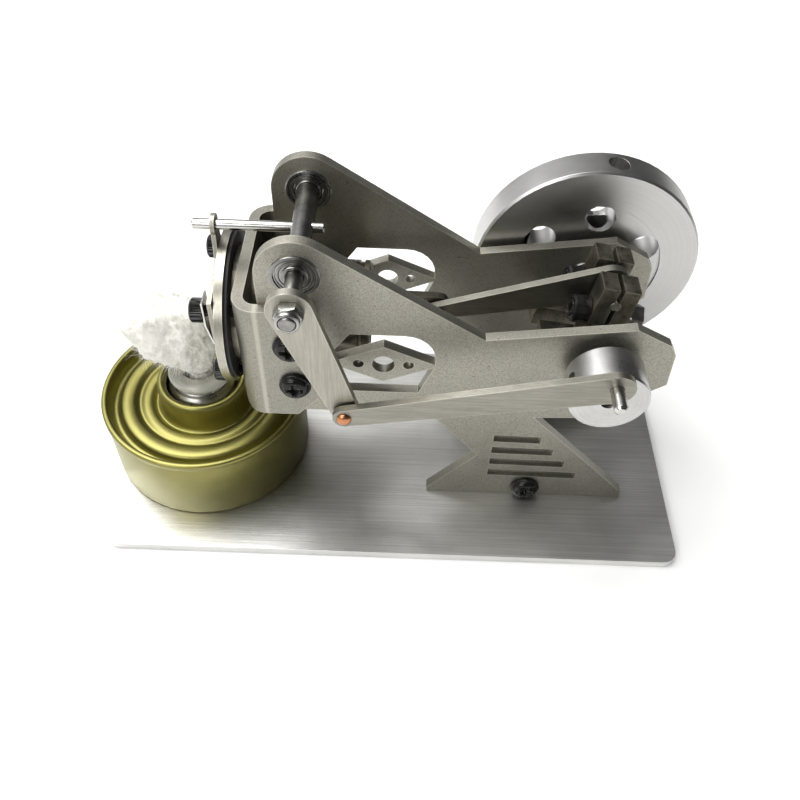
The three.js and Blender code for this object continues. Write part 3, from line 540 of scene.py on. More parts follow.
def from_node(node, edge):
    """A copy of a CAD node, merged and with its edges broken."""
    bm = bmesh.new()
    bm.from_mesh(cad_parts[node].data)
    bmesh.ops.remove_doubles(bm, verts=bm.verts, dist=1e-6)
    bmesh.ops.dissolve_limit(bm, angle_limit=math.radians(0.5), verts=bm.verts, edges=bm.edges)
    piece = new_object(node + "_piece", bm)
    if edge:
        rounded(piece, edge)
    return piece


def lathe_mesh(profile, steps):
    """A closed solid turned about Z from (radius, height) pairs in millimetres."""
    bm = bmesh.new()
    verts = [bm.verts.new((r * MM, 0, h * MM)) for r, h in profile]
    edges = [bm.edges.new(pair) for pair in zip(verts, verts[1:])]
    bmesh.ops.spin(
        bm, geom=verts + edges, cent=(0, 0, 0), axis=(0, 0, 1), dvec=(0, 0, 0),
        angle=math.tau, steps=steps, use_merge=True, use_duplicate=False,
    )
    bmesh.ops.remove_doubles(bm, verts=bm.verts, dist=1e-7)
    bmesh.ops.dissolve_degenerate(bm, dist=1e-7, edges=bm.edges)
    bmesh.ops.recalc_face_normals(bm, faces=bm.faces)
    return bm


def stand(bm, place, axis="+Z"):
    """Turns what was made along Z to lie along axis, and moves it to place in metres."""
    turn = Vector((0, 0, 1)).rotation_difference(AXES[axis] if isinstance(axis, str) else axis)
    matrix = Matrix.Translation(place) @ turn.to_matrix().to_4x4()
    bmesh.ops.transform(bm, matrix=matrix, verts=bm.verts)
    return bm


def stood(mesh, name, place, axis, angle):
    """A new object from what was made along Z, turned to lie along axis."""
    bm = bmesh.new()
    bm.from_mesh(mesh)
    return new_object(name, stand(bm, place, axis), angle)


def turned(name, profile, place, axis="+Z", steps=48, angle=30.0):
    return new_object(name, stand(lathe_mesh(profile, steps), place, axis), angle)


def prism(radius, sides, low, high, turn=0.0):
    """An upright prism in millimetres."""
    bm = bmesh.new()
    made = bmesh.ops.create_cone(
        bm, cap_ends=True, segments=sides, radius1=radius * MM, radius2=radius * MM,
        depth=(high - low) * MM,
    )
    shift = Matrix.Translation((0, 0, (low + high) / 2 * MM)) @ Matrix.Rotation(turn, 4, "Z")
    bmesh.ops.transform(bm, matrix=shift, verts=made["verts"])
    return bm


def arc_profile(radius, height, bend, start, end, count):
    """Points of an arc in a lathe profile, angles in degrees from straight out."""
    points = []
    for i in range(count + 1):
        angle = math.radians(start + (end - start) * i / count)
        points.append((radius + bend * math.cos(angle), height + bend * math.sin(angle)))
    return points


def thread(radius, low, high):
    """The profile of a threaded shank, from low to high."""
    pitch = bpy.context.scene.engine_sizes.thread_pitch / MM
    points = [(radius * 0.86, low)]
    height = low + pitch / 2
    while height < high - pitch:
        points += [(radius, height), (radius * 0.86, height + pitch / 2)]
        height += pitch
    return points + [(radius * 0.9, high)]


# ---- Screws --------------------------------------------------------------------------------

def cross_cutter(radius, depth, top):
    """The cross recess of a screw: two wedges with a narrow tip, and a cone in the middle."""
    width = bpy.context.scene.engine_sizes.recess_width / MM
    cutters = []
    for turn in (0.0, math.pi / 2):
        bm = bmesh.new()
        bmesh.ops.create_cube(bm, size=1.0)
        for vert in bm.verts:
            low = vert.co.z < 0
            across = radius * (0.55 if low else 1.15)
            vert.co = Vector((
                vert.co.x * 2 * across * MM,
                vert.co.y * width * (0.62 if low else 1.05) * MM,
                (top - depth if low else top + 0.3) * MM,
            ))
        bmesh.ops.rotate(bm, cent=(0, 0, 0), matrix=Matrix.Rotation(turn, 3, "Z"), verts=bm.verts)
        cutters.append(new_object("cutter", bm))
    middle = lathe_mesh([(0, top - depth * 1.1), (radius * 0.34, top - depth), (radius * 0.52, top + 0.3),
                         (0, top + 0.3)], 16)
    cutters.append(new_object("cutter", middle))
    return cutters


def pan_screw_mesh(head_radius, head_height, shank, length_mm, recess=0.56):
    """A pan head screw with a cross recess, its head's seat at Z = 0."""
    shares = (
        (0.97, 0), (1, 0.10), (1, 0.30), (0.97, 0.40), (0.88, 0.43), (0.87, 0.52), (0.84, 0.68),
        (0.76, 0.82), (0.62, 0.92), (0.42, 0.98), (0, 1),
    )
    dome = [(head_radius * across, head_height * up) for across, up in shares]
    profile = [(0, -length_mm)] + thread(shank, -length_mm, -0.1) + dome
    screw = new_object("pan_screw", lathe_mesh(profile, 40), 40)
    carved(screw, *cross_cutter(head_radius * recess, head_height * 0.62, head_height))
    rounded(screw, 0.00005, 1, 50)
    applied(screw)
    return screw


def cap_screw_mesh(head_radius, head_height, shank, length_mm):
    """A socket cap screw with a straight knurl, its head's seat at Z = 0."""
    edge = 0.24
    profile = [(0, -length_mm)] + thread(shank, -length_mm, -0.1) + [
        (head_radius - 0.12, 0), (head_radius, 0.12), (head_radius, head_height - edge - 0.1),
        (head_radius - 0.1, head_height - edge), (head_radius - edge - 0.1, head_height),
        (0, head_height),
    ]
    steps = 60
    bm = lathe_mesh(profile, steps)
    for vert in bm.verts:
        radius = math.hypot(vert.co.x, vert.co.y) / MM
        if radius > head_radius - 0.05 and vert.co.z > 0.1 * MM:
            column = round(math.atan2(vert.co.y, vert.co.x) / math.tau * steps)
            if column % 2:
                vert.co.x *= 0.9
                vert.co.y *= 0.9
    screw = new_object("cap_screw", bm, 25)
    socket = new_object("cutter", prism(head_radius * 0.56, 6, head_height * 0.4, head_height + 1))
    return carved(screw, socket)


def copies(pattern, nodes, axis, body, seat_from_top):
    """Puts a copy of a screw where each CAD node is, then removes the pattern."""
    for node in nodes:
        low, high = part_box(node)
        place = (low + high) / 2
        direction = AXES[axis[node]] if isinstance(axis, dict) else axis
        top = max(low.dot(direction), high.dot(direction))
        place += direction * (top - seat_from_top - place.dot(direction))
        piece = stood(pattern.data, node + "_piece", place, direction, 35)
        settle(piece, "black_oxide", body, "black_screw", node)
    bpy.data.objects.remove(pattern)


def head_size(node, axis):
    """Radius of a screw's head in millimetres, from its CAD node's box."""
    low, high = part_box(node)
    size = high - low
    across = [abs(size[i]) for i in range(3) if abs(AXES[axis][i]) < 0.5]
    return sum(across) / len(across) / 2 / MM


def span(node, axis):
    """Length of a CAD node along an axis, in millimetres."""
    low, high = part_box(node)
    return abs((high - low).dot(AXES[axis])) / MM


# ---- Operators -----------------------------------------------------------------------------

class PieceOperator:
    """What every operator here shares. Each row of parts: finish, body, slot, edge, then the CAD nodes."""
    bl_options = {"REGISTER", "UNDO"}
    parts = ()

    def execute(self, context):
        for finish_name, body, slot_name, edge, *nodes in self.parts:
            self.sheets(finish_name, body, slot_name, *nodes, edge=edge)
        return {"FINISHED"}

    def sheets(self, finish_name, body, slot_name, *nodes, edge=None):
        """Carries CAD nodes over with their edges broken."""
        sizes = bpy.context.scene.engine_sizes
        for node in nodes:
            piece = from_node(node, edge=sizes.sheet_edge if edge is None else edge)
            settle(piece, finish_name, body, slot_name, node)


class ENGINE_OT_base(PieceOperator, bpy.types.Operator):
    """Base plate, foot block and the screws beneath"""
    bl_idname = "engine.base"
    bl_label = "Base"

    parts = (
        ("base_steel", "frame", "brushed_steel", 0.0003, "base_plate"),
        ("dark_steel", "frame", "dark_steel", 0.0002, "foot_block"),
        ("black_oxide", "frame", "black_screw", 0.00008, "base_screw_front", "base_screw_rear"),
    )


class ENGINE_OT_plates(PieceOperator, bpy.types.Operator):
    """Side plates and the folded cylinder bracket"""
    bl_idname = "engine.plates"
    bl_label = "Side plates and bracket"

    parts = (
        ("sheet_steel", "frame", "plate_steel", None, "side_plate_front", "side_plate_rear"),
        ("bracket_steel", "frame", "plate_steel", None, "cylinder_bracket"),
    )


class ENGINE_OT_plate_screws(PieceOperator, bpy.types.Operator):
    """Pan head screws in the bracket and the feet"""
    bl_idname = "engine.plate_screws"
    bl_label = "Plate screws"

    def execute(self, context):
        front, rear = "-Y", "+Y"
        groups = [
            (["foot_screw_front", "foot_screw_rear"], 2.0, M3_SHANK),
            (["bracket_screw_front_upper", "bracket_screw_front_lower", "bracket_screw_rear_upper",
              "bracket_screw_rear_lower"], 1.9, M3_SHANK),
        ]
        for nodes, head_height, shank in groups:
            radius = head_size(nodes[0], front)
            length_mm = span(nodes[0], front) - head_height
            pattern = pan_screw_mesh(radius, head_height, shank, length_mm)
            axis = {node: front if "front" in node else rear for node in nodes}
            copies(pattern, nodes, axis, "frame", head_height * MM)
        return {"FINISHED"}


class ENGINE_OT_cylinder(PieceOperator, bpy.types.Operator):
    """Cylinder, gasket, head and the head's cap screws"""
    bl_idname = "engine.cylinder"
    bl_label = "Cylinder and head"

    def execute(self, context):
        self.sheets("cylinder_steel", "frame", "dark_steel", "cylinder", edge=0.0001)
        self.sheets("gasket", "frame", "gasket", "head_gasket", edge=0.0)
        edge = context.scene.engine_sizes.turned_edge
        self.sheets("head_steel", "frame", "brushed_steel", "cylinder_head", edge=edge)
        head_height = 2.4
        for level in ("upper", "lower"):
            nodes = [f"head_screw_{level}_{end}" for end in ("front", "rear")]
            radius = head_size(nodes[0], "-X")
            length_mm = span(nodes[0], "-X") - head_height
            pattern = cap_screw_mesh(radius, head_height, HEAD_SCREW_SHANK, length_mm)
            copies(pattern, nodes, AXES["-X"], "frame", head_height * MM)
        return {"FINISHED"}


class ENGINE_OT_valve(PieceOperator, bpy.types.Operator):
    """Sliding valve plate and its leaf spring"""
    bl_idname = "engine.valve"
    bl_label = "Valve"

    parts = (
        ("sheet_steel", "valve", "plate_steel", 0.0001, "valve_plate"),
        ("bright_steel", "frame", "polished_steel", 0.00006, "valve_spring"),
    )


class ENGINE_OT_piston(PieceOperator, bpy.types.Operator):
    """Piston, connecting rod and wrist pin"""
    bl_idname = "engine.piston"
    bl_label = "Piston and rod"

    parts = (
        ("cylinder_steel", "piston", "dark_steel", 0.00012, "piston"),
        ("bar_steel", "conrod", "brushed_steel", None, "conrod"),
        ("bright_steel", "conrod", "polished_steel", 0.0001, "wrist_pin"),
    )


class ENGINE_OT_bearings(PieceOperator, bpy.types.Operator):
    """Shielded ball bearings of the rocker and the crank"""
    bl_idname = "engine.bearings"
    bl_label = "Bearings"

    def mirrored(self, side):
        """The closed profile of a ring that is the same on both faces."""
        return side + [(r, -h) for r, h in reversed(side)] + [side[0]]

    def outer(self, radius, half):
        """Outer ring with its two stepped shields."""
        shield = radius - 0.75
        side = [
            (2.70, half - 0.34), (2.74, half - 0.20), (2.95, half - 0.18), (2.98, half - 0.30),
            (shield - 0.22, half - 0.32), (shield - 0.18, half - 0.14), (shield - 0.04, half - 0.14),
            (shield, half - 0.40), (shield + 0.12, half - 0.40), (shield + 0.16, half - 0.02),
            (shield + 0.22, half), (radius - 0.14, half), (radius, half - 0.14),
        ]
        return self.mirrored(side)

    def inner(self, bore, half):
        """Inner ring with chamfered corners."""
        side = [
            (bore, half - 0.15), (bore + 0.10, half), (bore + 0.60, half), (bore + 0.70, half - 0.08),
            (bore + 0.74, half - 0.40), (2.6, half - 0.42),
        ]
        return self.mirrored(side)

    def execute(self, context):
        for place in ("rocker", "crank"):
            for end in ("front", "rear"):
                for part, body in (("outer", "frame"), ("inner", place)):
                    node = f"{place}_bearing_{end}_{part}"
                    low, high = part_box(node)
                    half = (high.y - low.y) / 2 / MM
                    radius = (high.x - low.x) / 2 / MM
                    is_outer = part == "outer"
                    profile = self.outer(radius, half) if is_outer else self.inner(BEARING_BORE, half)
                    piece = turned(node + "_piece", profile, (low + high) / 2, "-Y", 72, 25)
                    settle(piece, "bearing_steel", body, "polished_steel", node)
        return {"FINISHED"}


class ENGINE_OT_crank(PieceOperator, bpy.types.Operator):
    """Crank webs, their clamp screws and nuts, pin and shafts"""
    bl_idname = "engine.crank"
    bl_label = "Crank"

    def clamp_axis(self):
        """Along the clamp screws towards their heads, square to the line from shaft to pin."""
        arm = sum(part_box("crank_pin"), Vector()) - sum(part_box("crank_shaft_front"), Vector())
        return Vector((-arm.z, 0, arm.x)).normalized()

    def clamp_screws(self):
        """Short round heads with a rounded rim, a ring groove and a socket."""
        way = self.clamp_axis()
        for end in ("front", "rear"):
            node = f"clamp_screw_{end}"
            nut = sum(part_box(f"clamp_nut_{end}"), Vector()) / 2
            reach = []
            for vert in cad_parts[node].data.vertices:
                offset = vert.co - nut
                along = offset.dot(way)
                reach.append(((offset - way * along).length / MM, along / MM))
            radius = max(r for r, _ in reach)
            top = max(h for _, h in reach)
            tip = min(h for _, h in reach)
            seat = min(h for r, h in reach if r > radius * 0.9)
            height = top - seat
            profile = [(0, tip - seat)] + thread(CLAMP_SHANK, tip - seat, -0.1) + [
                (radius - 0.15, 0), (radius, 0.15), (radius, height - 0.7), (radius - 0.1, height - 0.35),
                (radius - 0.35, height - 0.1), (radius - 0.7, height), (radius - 0.8, height - 0.3),
                (radius - 1.0, height - 0.3), (radius - 1.1, height), (0, height),
            ]
            pattern = new_object("clamp_screw", lathe_mesh(profile, 48), 25)
            carved(pattern, new_object("cutter", prism(radius * 0.4, 6, height * 0.4, height + 1)))
            piece = stood(pattern.data, node + "_piece", nut + way * seat * MM, way, 25)
            bpy.data.objects.remove(pattern)
            settle(piece, "black_oxide", "crank", "black_screw", node)

    def execute(self, context):
        self.sheets("dark_steel", "crank", "dark_steel", "crank_web_front", "crank_web_rear", edge=0.00016)
        self.sheets("bright_steel", "crank", "polished_steel", "crank_pin", edge=0.0001)
        self.sheets("shaft_steel", "crank", "polished_steel", "crank_shaft_front", "crank_shaft_rear",
                    edge=0.0002)
        self.clamp_screws()
        self.sheets("nut_steel", "crank", "polished_steel", "clamp_nut_front", "clamp_nut_rear",
                    edge=0.00012)
        return {"FINISHED"}


class ENGINE_OT_eccentric(PieceOperator, bpy.types.Operator):
    """Eccentric disc, its set screw and its pin"""
    bl_idname = "engine.eccentric"
    bl_label = "Eccentric disc"

    parts = (
        ("disc_metal", "crank", "turned_aluminium", 0.00012, "eccentric_disc"),
        ("black_oxide", "crank", "black_screw", 0.00005, "disc_set_screw"),
        ("bright_steel", "crank", "polished_steel", 0.0001, "eccentric_pin"),
    )


class ENGINE_OT_flywheel(PieceOperator, bpy.types.Operator):
    """Flywheel and its set screw"""
    bl_idname = "engine.flywheel"
    bl_label = "Flywheel"

    parts = (
        ("flywheel_metal", "crank", "turned_aluminium", 0.00022, "flywheel"),
        ("black_oxide", "crank", "black_screw", 0.00008, "flywheel_set_screw"),
    )


class ENGINE_OT_rocker(PieceOperator, bpy.types.Operator):
    """Rocker shaft, valve rod, lever and lock nut"""
    bl_idname = "engine.rocker"
    bl_label = "Rocker"

    def lock_nut(self):
        """A hexagon with chamfered corners, a rolled collar and a nylon ring round the shaft."""
        low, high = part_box("rocker_nut")
        centre = (low + high) / 2
        seat = Vector((centre.x, high.y, centre.z))
        height = (high.y - low.y) / MM
        radius = (high.z - low.z) / 2 / MM
        hexagon = height * 0.66
        nut = new_object("rocker_nut_piece", prism(radius, 6, 0, hexagon, math.pi / 6))
        cone = new_object("cutter", lathe_mesh([
            (radius * 0.86, hexagon + 0.02), (radius * 0.9, hexagon - 0.12),
            (radius + 0.2, hexagon - 0.75), (radius + 0.6, hexagon + 1), (radius * 0.86, hexagon + 1),
            (radius * 0.86, hexagon + 0.02),
        ], 64))
        bore = new_object("cutter", prism(1.56, 40, -1, height + 1))
        carved(nut, cone, bore)
        rounded(nut, 0.00008, 2, 25)
        applied(nut)
        collar = [
            (1.56, hexagon - 0.1), (radius * 0.84, hexagon - 0.1), (radius * 0.845, height - 0.45),
            (radius * 0.80, height - 0.14), (radius * 0.70, height), (radius * 0.62, height - 0.05),
            (radius * 0.61, height - 0.3), (1.56, height - 0.3), (1.56, hexagon - 0.1),
        ]
        bm = bmesh.new()
        bm.from_mesh(nut.data)
        ring = lathe_mesh(collar, 64)
        temporary = bpy.data.meshes.new("collar")
        ring.to_mesh(temporary)
        ring.free()
        bm.from_mesh(temporary)
        bpy.data.meshes.remove(temporary)
        bpy.data.objects.remove(nut)
        stand(bm, seat, "-Y")
        piece = new_object("rocker_nut_piece", bm, 30)
        settle(piece, "nut_steel", "rocker", "polished_steel", "rocker_nut")
        nylon = [(1.53, height - 0.28), (radius * 0.6, height - 0.28), (radius * 0.6, height - 0.12),
                 (1.53, height - 0.16), (1.53, height - 0.28)]
        ring = turned("rocker_nut_ring", nylon, seat, "-Y", 48)
        settle(ring, "nylon", "rocker", "gasket")

    def execute(self, context):
        self.sheets("shaft_steel", "rocker", "dark_steel", "rocker_shaft", edge=0.0002)
        self.sheets("bright_steel", "rocker", "polished_steel", "valve_rod", edge=0.0)
        self.sheets("lever_steel", "rocker", "brushed_steel", "rocker_lever")
        self.lock_nut()
        return {"FINISHED"}


class ENGINE_OT_link(PieceOperator, bpy.types.Operator):
    """Link bar and its copper rivet"""
    bl_idname = "engine.link"
    bl_label = "Link"

    def execute(self, context):
        self.sheets("bar_steel", "link", "brushed_steel", "link_bar")
        low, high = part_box("link_rivet")
        centre = (low + high) / 2
        radius = (high.x - low.x) / 2 / MM
        depth = (high.y - low.y) / MM
        head = 0.8
        dome = arc_profile(0, depth - head, 1.0, 0, 90, 10)
        profile = [(0, 0), (0.8, 0), (0.8, depth - head)] + [
            (x * radius, depth - head + (z - depth + head) * head) for x, z in dome
        ]
        piece = turned("link_rivet_piece", profile, Vector((centre.x, high.y, centre.z)), "-Y", 48)
        settle(piece, "copper", "link", "copper", "link_rivet")
        return {"FINISHED"}


class ENGINE_OT_burner(PieceOperator, bpy.types.Operator):
    """Burner tin, its pressed lid, the wick tube and its collar"""
    bl_idname = "engine.burner"
    bl_label = "Burner"

    def can_profile(self, radius, floor, seam):
        """From the middle of the bottom up the outside, then down the inside."""
        side = radius - 0.25
        wall = 0.35
        outside = [
            (0, floor + 0.6), (side - 3.2, floor + 0.6), (side - 2.9, floor + 0.5), (side - 2.5, floor + 0.1),
            (side - 2.2, floor), (side - 0.5, floor), (side - 0.15, floor + 0.12), (side, floor + 0.5),
            (side, seam - 1.2), (side, seam),
        ]
        inside = [(side - wall, seam), (side - wall, floor + 1.2), (side - 3.0, floor + 1.0),
                  (0, floor + 1.0)]
        return outside + inside

    def lid_profile(self, radius, seam, top, neck_top, neck, bore):
        """From the seam's lower edge over the top and into the neck, then back underneath."""
        inner = radius - 1.25
        over = [
            (radius - 0.12, seam), (radius, seam + 0.18), (radius, top - 0.40), (radius - 0.1, top - 0.16),
            (radius - 0.32, top), (inner + 0.38, top), (inner + 0.1, top - 0.12), (inner, top - 0.35),
            (inner - 0.12, top - 1.6), (inner - 0.35, 16.15), (inner - 0.7, 15.85), (inner - 1.2, 15.75),
            (18.6, 15.8), (18.3, 16.1), (18.05, 16.75), (17.75, 17.12), (17.3, 17.3), (16.4, 17.38),
            (15.4, 17.3), (14.95, 17.1), (14.6, 16.7), (14.3, 16.42), (13.95, 16.32), (13.6, 16.42),
            (13.2, 16.65), (12.7, 16.74), (11.9, 16.74), (11.4, 16.62), (11.05, 16.2), (10.75, 15.86),
            (10.4, 15.75), (10.1, 15.95), (9.9, 16.5), (neck + 0.55, 18.2), (neck + 0.4, neck_top - 1.5),
            (neck + 0.32, neck_top - 0.55), (neck + 0.1, neck_top - 0.16), (neck - 0.25, neck_top),
            (neck - 0.75, neck_top - 0.02), (bore + 0.5, neck_top - 0.28), (bore + 0.1, neck_top - 0.8),
            (bore, neck_top - 1.4),
        ]
        under = [
            (bore + 0.2, neck_top - 2.2), (neck + 0.0, 18.2), (9.5, 15.2), (11.4, 15.3), (12.2, 16.2),
            (13.3, 15.9), (14.3, 15.8), (15.2, 16.8), (17.3, 16.8), (18.2, 15.3), (inner - 0.4, 15.4),
            (inner + 0.15, seam), (radius - 0.12, seam),
        ]
        return over + under

    def execute(self, context):
        sizes = context.scene.engine_sizes
        low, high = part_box("burner_can")
        lid_low, lid_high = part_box("burner_lid")
        middle = (lid_low + lid_high) / 2
        axis = Vector((middle.x, middle.y, 0))
        radius = (lid_high.x - lid_low.x) / 2 / MM
        can = turned("burner_can_piece", self.can_profile(radius, low.z / MM, high.z / MM), axis,
                     steps=sizes.rounds, angle=50)
        settle(can, "lacquer", "burner", "gold_lacquer", "burner_can")
        seam = high.z / MM + 0.05
        lid = turned("burner_lid_piece", self.lid_profile(radius, seam, 19.1, lid_high.z / MM, 9.1, 7.62),
                     axis, steps=sizes.rounds, angle=60)
        settle(lid, "lacquer", "burner", "gold_lacquer", "burner_lid")
        holder = [
            (WICK_BORE, 12), (4.85, 12), (4.9, 12.1), (4.9, 19.2), (7.3, 19.25), (7.4, 19.4), (7.4, 20.2),
            (7.25, 20.6), (6.95, 21.05), (6.6, 21.45), (6.3, 21.75), (6.1, 22.05), (5.95, 22.4),
            (5.75, 22.64), (5.4, 22.72), (4.4, 22.72), (WICK_BORE, 22.5), (WICK_BORE, 12),
        ]
        piece = turned("wick_holder_piece", holder, axis, steps=96, angle=40)
        settle(piece, "nut_steel", "burner", "polished_steel", "wick_holder")
        collar_low, collar_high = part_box("wick_collar")
        bead = (collar_high.z - collar_low.z) / 2 / MM
        level = (collar_high.z + collar_low.z) / 2 / MM
        outer = (collar_high.x - collar_low.x) / 2 / MM
        collar = [(WICK_BORE, level - bead)] + arc_profile(outer - bead, level, bead, -90, 90, 14) + [
            (WICK_BORE, level + bead), (WICK_BORE, level - bead),
        ]
        piece = turned("wick_collar_piece", collar, axis, steps=96, angle=60)
        settle(piece, "glass", "burner", "glass", "wick_collar")
        return {"FINISHED"}


class ENGINE_OT_cotton(PieceOperator, bpy.types.Operator):
    """Cotton wad: a soft core with loose fibres over it"""
    bl_idname = "engine.cotton"
    bl_label = "Cotton wick"

    def core(self):
        """A copy of the CAD wad, remeshed fine, then pushed about like pulled cotton."""
        bm = bmesh.new()
        bm.from_mesh(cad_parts["cotton_wick"].data)
        bmesh.ops.remove_doubles(bm, verts=bm.verts, dist=1e-6)
        wad = new_object("cotton_wick_piece", bm, 180)
        remesh = wad.modifiers.new("remesh", "REMESH")
        remesh.mode = "VOXEL"
        remesh.voxel_size = 0.0005
        remesh.use_smooth_shade = True
        bpy.context.view_layer.update()
        applied(wad)
        low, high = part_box("cotton_wick")
        loose_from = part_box("wick_collar")[1].z
        bm = bmesh.new()
        bm.from_mesh(wad.data)
        for _ in range(6):
            bmesh.ops.smooth_vert(bm, verts=bm.verts, factor=0.5, use_axis_x=True, use_axis_y=True,
                                  use_axis_z=True)
        bm.normal_update()
        moves = []
        for vert in bm.verts:
            free = min(1.0, max(0.0, (vert.co.z - loose_from) / 0.004))
            lump = noise.fractal(vert.co * 260, 0.9, 2.1, 5)
            tuft = noise.fractal(vert.co * 1100 + Vector((7, 3, 1)), 0.8, 2.2, 4)
            swell = 0.0007 + lump * 0.0010 + tuft * 0.00042
            flare = Vector((-0.0014, 0, 0)) * free * max(0.0, -vert.normal.x)
            move = vert.normal * free * swell + flare
            over = (vert.co + move - TRIM_AT).dot(TRIM_WAY)
            if over > 0:
                move -= TRIM_WAY * over * 0.8
            moves.append(move)
        for vert, move in zip(bm.verts, moves):
            vert.co += move
            vert.co.z = min(vert.co.z, high.z + 0.0005)
        bm.normal_update()
        bm.to_mesh(wad.data)
        points = [(v.co.copy(), v.normal.copy()) for v in bm.verts if v.co.z > loose_from + 0.001]
        bm.free()
        wad.data.shade_smooth()
        return wad, points, high.z

    def fuzz(self, points, top):
        """Loose fibres that leave the core at a low angle and curl."""
        sizes = bpy.context.scene.engine_sizes
        chance = random.Random(11)
        curve = bpy.data.curves.new("cotton_fuzz", "CURVE")
        curve.dimensions = "3D"
        curve.bevel_depth = sizes.fibre_width
        curve.bevel_resolution = 0
        curve.resolution_u = 2
        for _ in range(sizes.fibres):
            place, normal = chance.choice(points)
            stray = Vector([chance.uniform(-1, 1) for _ in range(3)])
            along = normal * chance.uniform(0.15, 0.9) + stray * 0.9 + Vector((-0.15, 0, 0.3))
            along.normalize()
            reach = sizes.fibre_length * chance.uniform(0.3, 1.0)
            bend = Vector([chance.uniform(-1, 1) for _ in range(3)]) * reach * 0.35
            spline = curve.splines.new("POLY")
            spline.points.add(4)
            for i, point in enumerate(spline.points):
                t = i / 4
                spot = place - normal * 0.0003 + along * reach * t + bend * t * t
                spot.z = min(spot.z, top + 0.0012)
                point.co = (*spot, 1)
                point.radius = 1.0 - 0.75 * t
        draft = bpy.data.objects.new("cotton_fuzz", curve)
        bpy.context.scene.collection.objects.link(draft)
        graph = bpy.context.evaluated_depsgraph_get()
        mesh = bpy.data.meshes.new_from_object(draft.evaluated_get(graph))
        bpy.data.objects.remove(draft)
        mesh.name = "cotton_fuzz"
        piece = bpy.data.objects.new("cotton_fuzz", mesh)
        bpy.context.scene.collection.objects.link(piece)
        mesh.shade_smooth()
        return piece

    def execute(self, context):
        wad, points, top = self.core()
        settle(wad, "cotton", "burner", "cotton", "cotton_wick")
        fuzz = self.fuzz(points, top)
        settle(fuzz, "loose_cotton", "burner", "cotton")
        return {"FINISHED"}


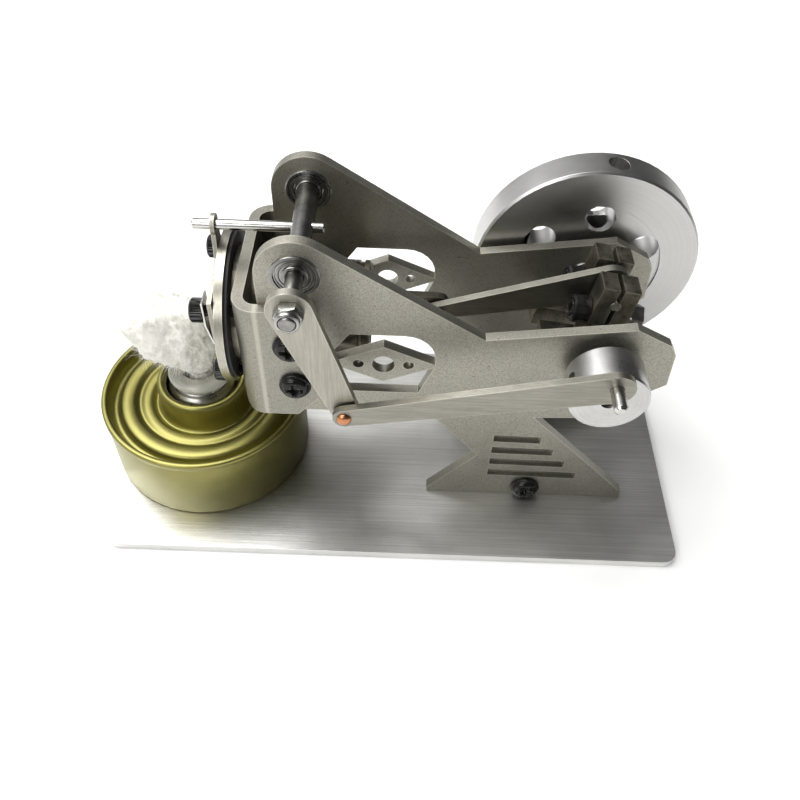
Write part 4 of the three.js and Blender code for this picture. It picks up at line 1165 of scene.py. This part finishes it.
class ENGINE_OT_stage(PieceOperator, bpy.types.Operator):
    """Floor, lights and camera"""
    bl_idname = "engine.stage"
    bl_label = "Stage"

    def light(self, name, place, target, size, power):
        data = bpy.data.lights.new(name, "AREA")
        data.shape = "RECTANGLE"
        data.size = size
        data.size_y = size
        data.energy = power
        lamp = bpy.data.objects.new(name, data)
        bpy.context.scene.collection.objects.link(lamp)
        lamp.location = place
        way = Vector(target) - Vector(place)
        lamp.rotation_euler = way.to_track_quat("-Z", "Y").to_euler()

    def execute(self, context):
        stage = context.scene.engine_stage
        bm = bmesh.new()
        bmesh.ops.create_grid(bm, x_segments=1, y_segments=1, size=FLOOR_HALF)
        bmesh.ops.translate(bm, vec=(0, 0, CAD_BOX[0][2] - 0.00005), verts=bm.verts)
        floor = new_object("floor", bm)
        floor.data.materials.append(finish("floor"))

        world = bpy.data.worlds.new("studio")
        context.scene.world = world
        world.use_nodes = True
        tree = world.node_tree
        background = next(n for n in tree.nodes if n.type == "BACKGROUND")
        background.inputs["Strength"].default_value = stage.world
        coords = tree.nodes.new("ShaderNodeTexCoord")
        toward = tree.nodes.new("ShaderNodeVectorMath")
        toward.operation = "DOT_PRODUCT"
        toward.inputs[1].default_value = SKY_WAY
        ramp = tree.nodes.new("ShaderNodeValToRGB")
        tree.links.new(coords.outputs["Generated"], toward.inputs[0])
        tree.links.new(toward.outputs["Value"], ramp.inputs[0])
        tree.links.new(ramp.outputs[0], background.inputs["Color"])
        dark, light = ramp.color_ramp.elements
        dark.position, dark.color = 0.28, (0.09, 0.09, 0.09, 1)
        light.position, light.color = 0.85, (1, 1, 1, 1)
        self.light("key", KEY_PLACE, LIT_POINT, 0.5, stage.key_power)
        self.light("front", FRONT_PLACE, LIT_POINT, 0.4, stage.fill_power)

        yaw, pitch, roll = (math.radians(angle) for angle in CAMERA_TURN)
        ahead = Vector((math.sin(yaw) * math.cos(pitch), math.cos(yaw) * math.cos(pitch), -math.sin(pitch)))
        level = Vector((math.cos(yaw), -math.sin(yaw), 0))
        down = ahead.cross(level)
        right = level * math.cos(roll) + down * math.sin(roll)
        below = down * math.cos(roll) - level * math.sin(roll)
        camera = bpy.data.cameras.new("camera")
        camera.lens = stage.lens
        camera.sensor_width = 36
        camera.clip_start = 0.01
        camera.clip_end = 20
        viewer = bpy.data.objects.new("camera", camera)
        context.scene.collection.objects.link(viewer)
        turn = Matrix((right, -below, -ahead)).transposed().to_4x4()
        viewer.matrix_world = Matrix.Translation(Vector(CAMERA_PLACE) * MM) @ turn
        context.scene.camera = viewer
        context.scene.view_settings.view_transform = "Standard"
        return {"FINISHED"}


class ENGINE_PT_sidebar(bpy.types.Panel):
    """The engine's operators and settings"""
    bl_label = "Engine"
    bl_idname = "ENGINE_PT_sidebar"
    bl_space_type = "VIEW_3D"
    bl_region_type = "UI"
    bl_category = "Engine"

    def draw(self, context):
        layout = self.layout
        for operator in OPERATORS:
            layout.operator(operator.bl_idname)
        for group in (context.scene.engine_sizes, context.scene.engine_colours, context.scene.engine_stage):
            box = layout.box()
            for name in group.__annotations__:
                box.prop(group, name)


OPERATORS = (
    ENGINE_OT_base, ENGINE_OT_plates, ENGINE_OT_plate_screws, ENGINE_OT_cylinder, ENGINE_OT_valve,
    ENGINE_OT_piston, ENGINE_OT_bearings, ENGINE_OT_crank, ENGINE_OT_eccentric, ENGINE_OT_flywheel,
    ENGINE_OT_rocker, ENGINE_OT_link, ENGINE_OT_burner, ENGINE_OT_cotton, ENGINE_OT_stage,
)
CLASSES = (EngineSizes, EngineColours, EngineStage, *OPERATORS, ENGINE_PT_sidebar)


def register():
    for item in CLASSES:
        bpy.utils.register_class(item)
    bpy.types.Scene.engine_sizes = PointerProperty(type=EngineSizes)
    bpy.types.Scene.engine_colours = PointerProperty(type=EngineColours)
    bpy.types.Scene.engine_stage = PointerProperty(type=EngineStage)


def unregister():
    del bpy.types.Scene.engine_stage
    del bpy.types.Scene.engine_colours
    del bpy.types.Scene.engine_sizes
    for item in reversed(CLASSES):
        bpy.utils.unregister_class(item)


def main():
    register()
    for operator in OPERATORS:
        group, name = operator.bl_idname.split(".")
        getattr(getattr(bpy.ops, group), name)()


if __name__ == "__main__":
    main()
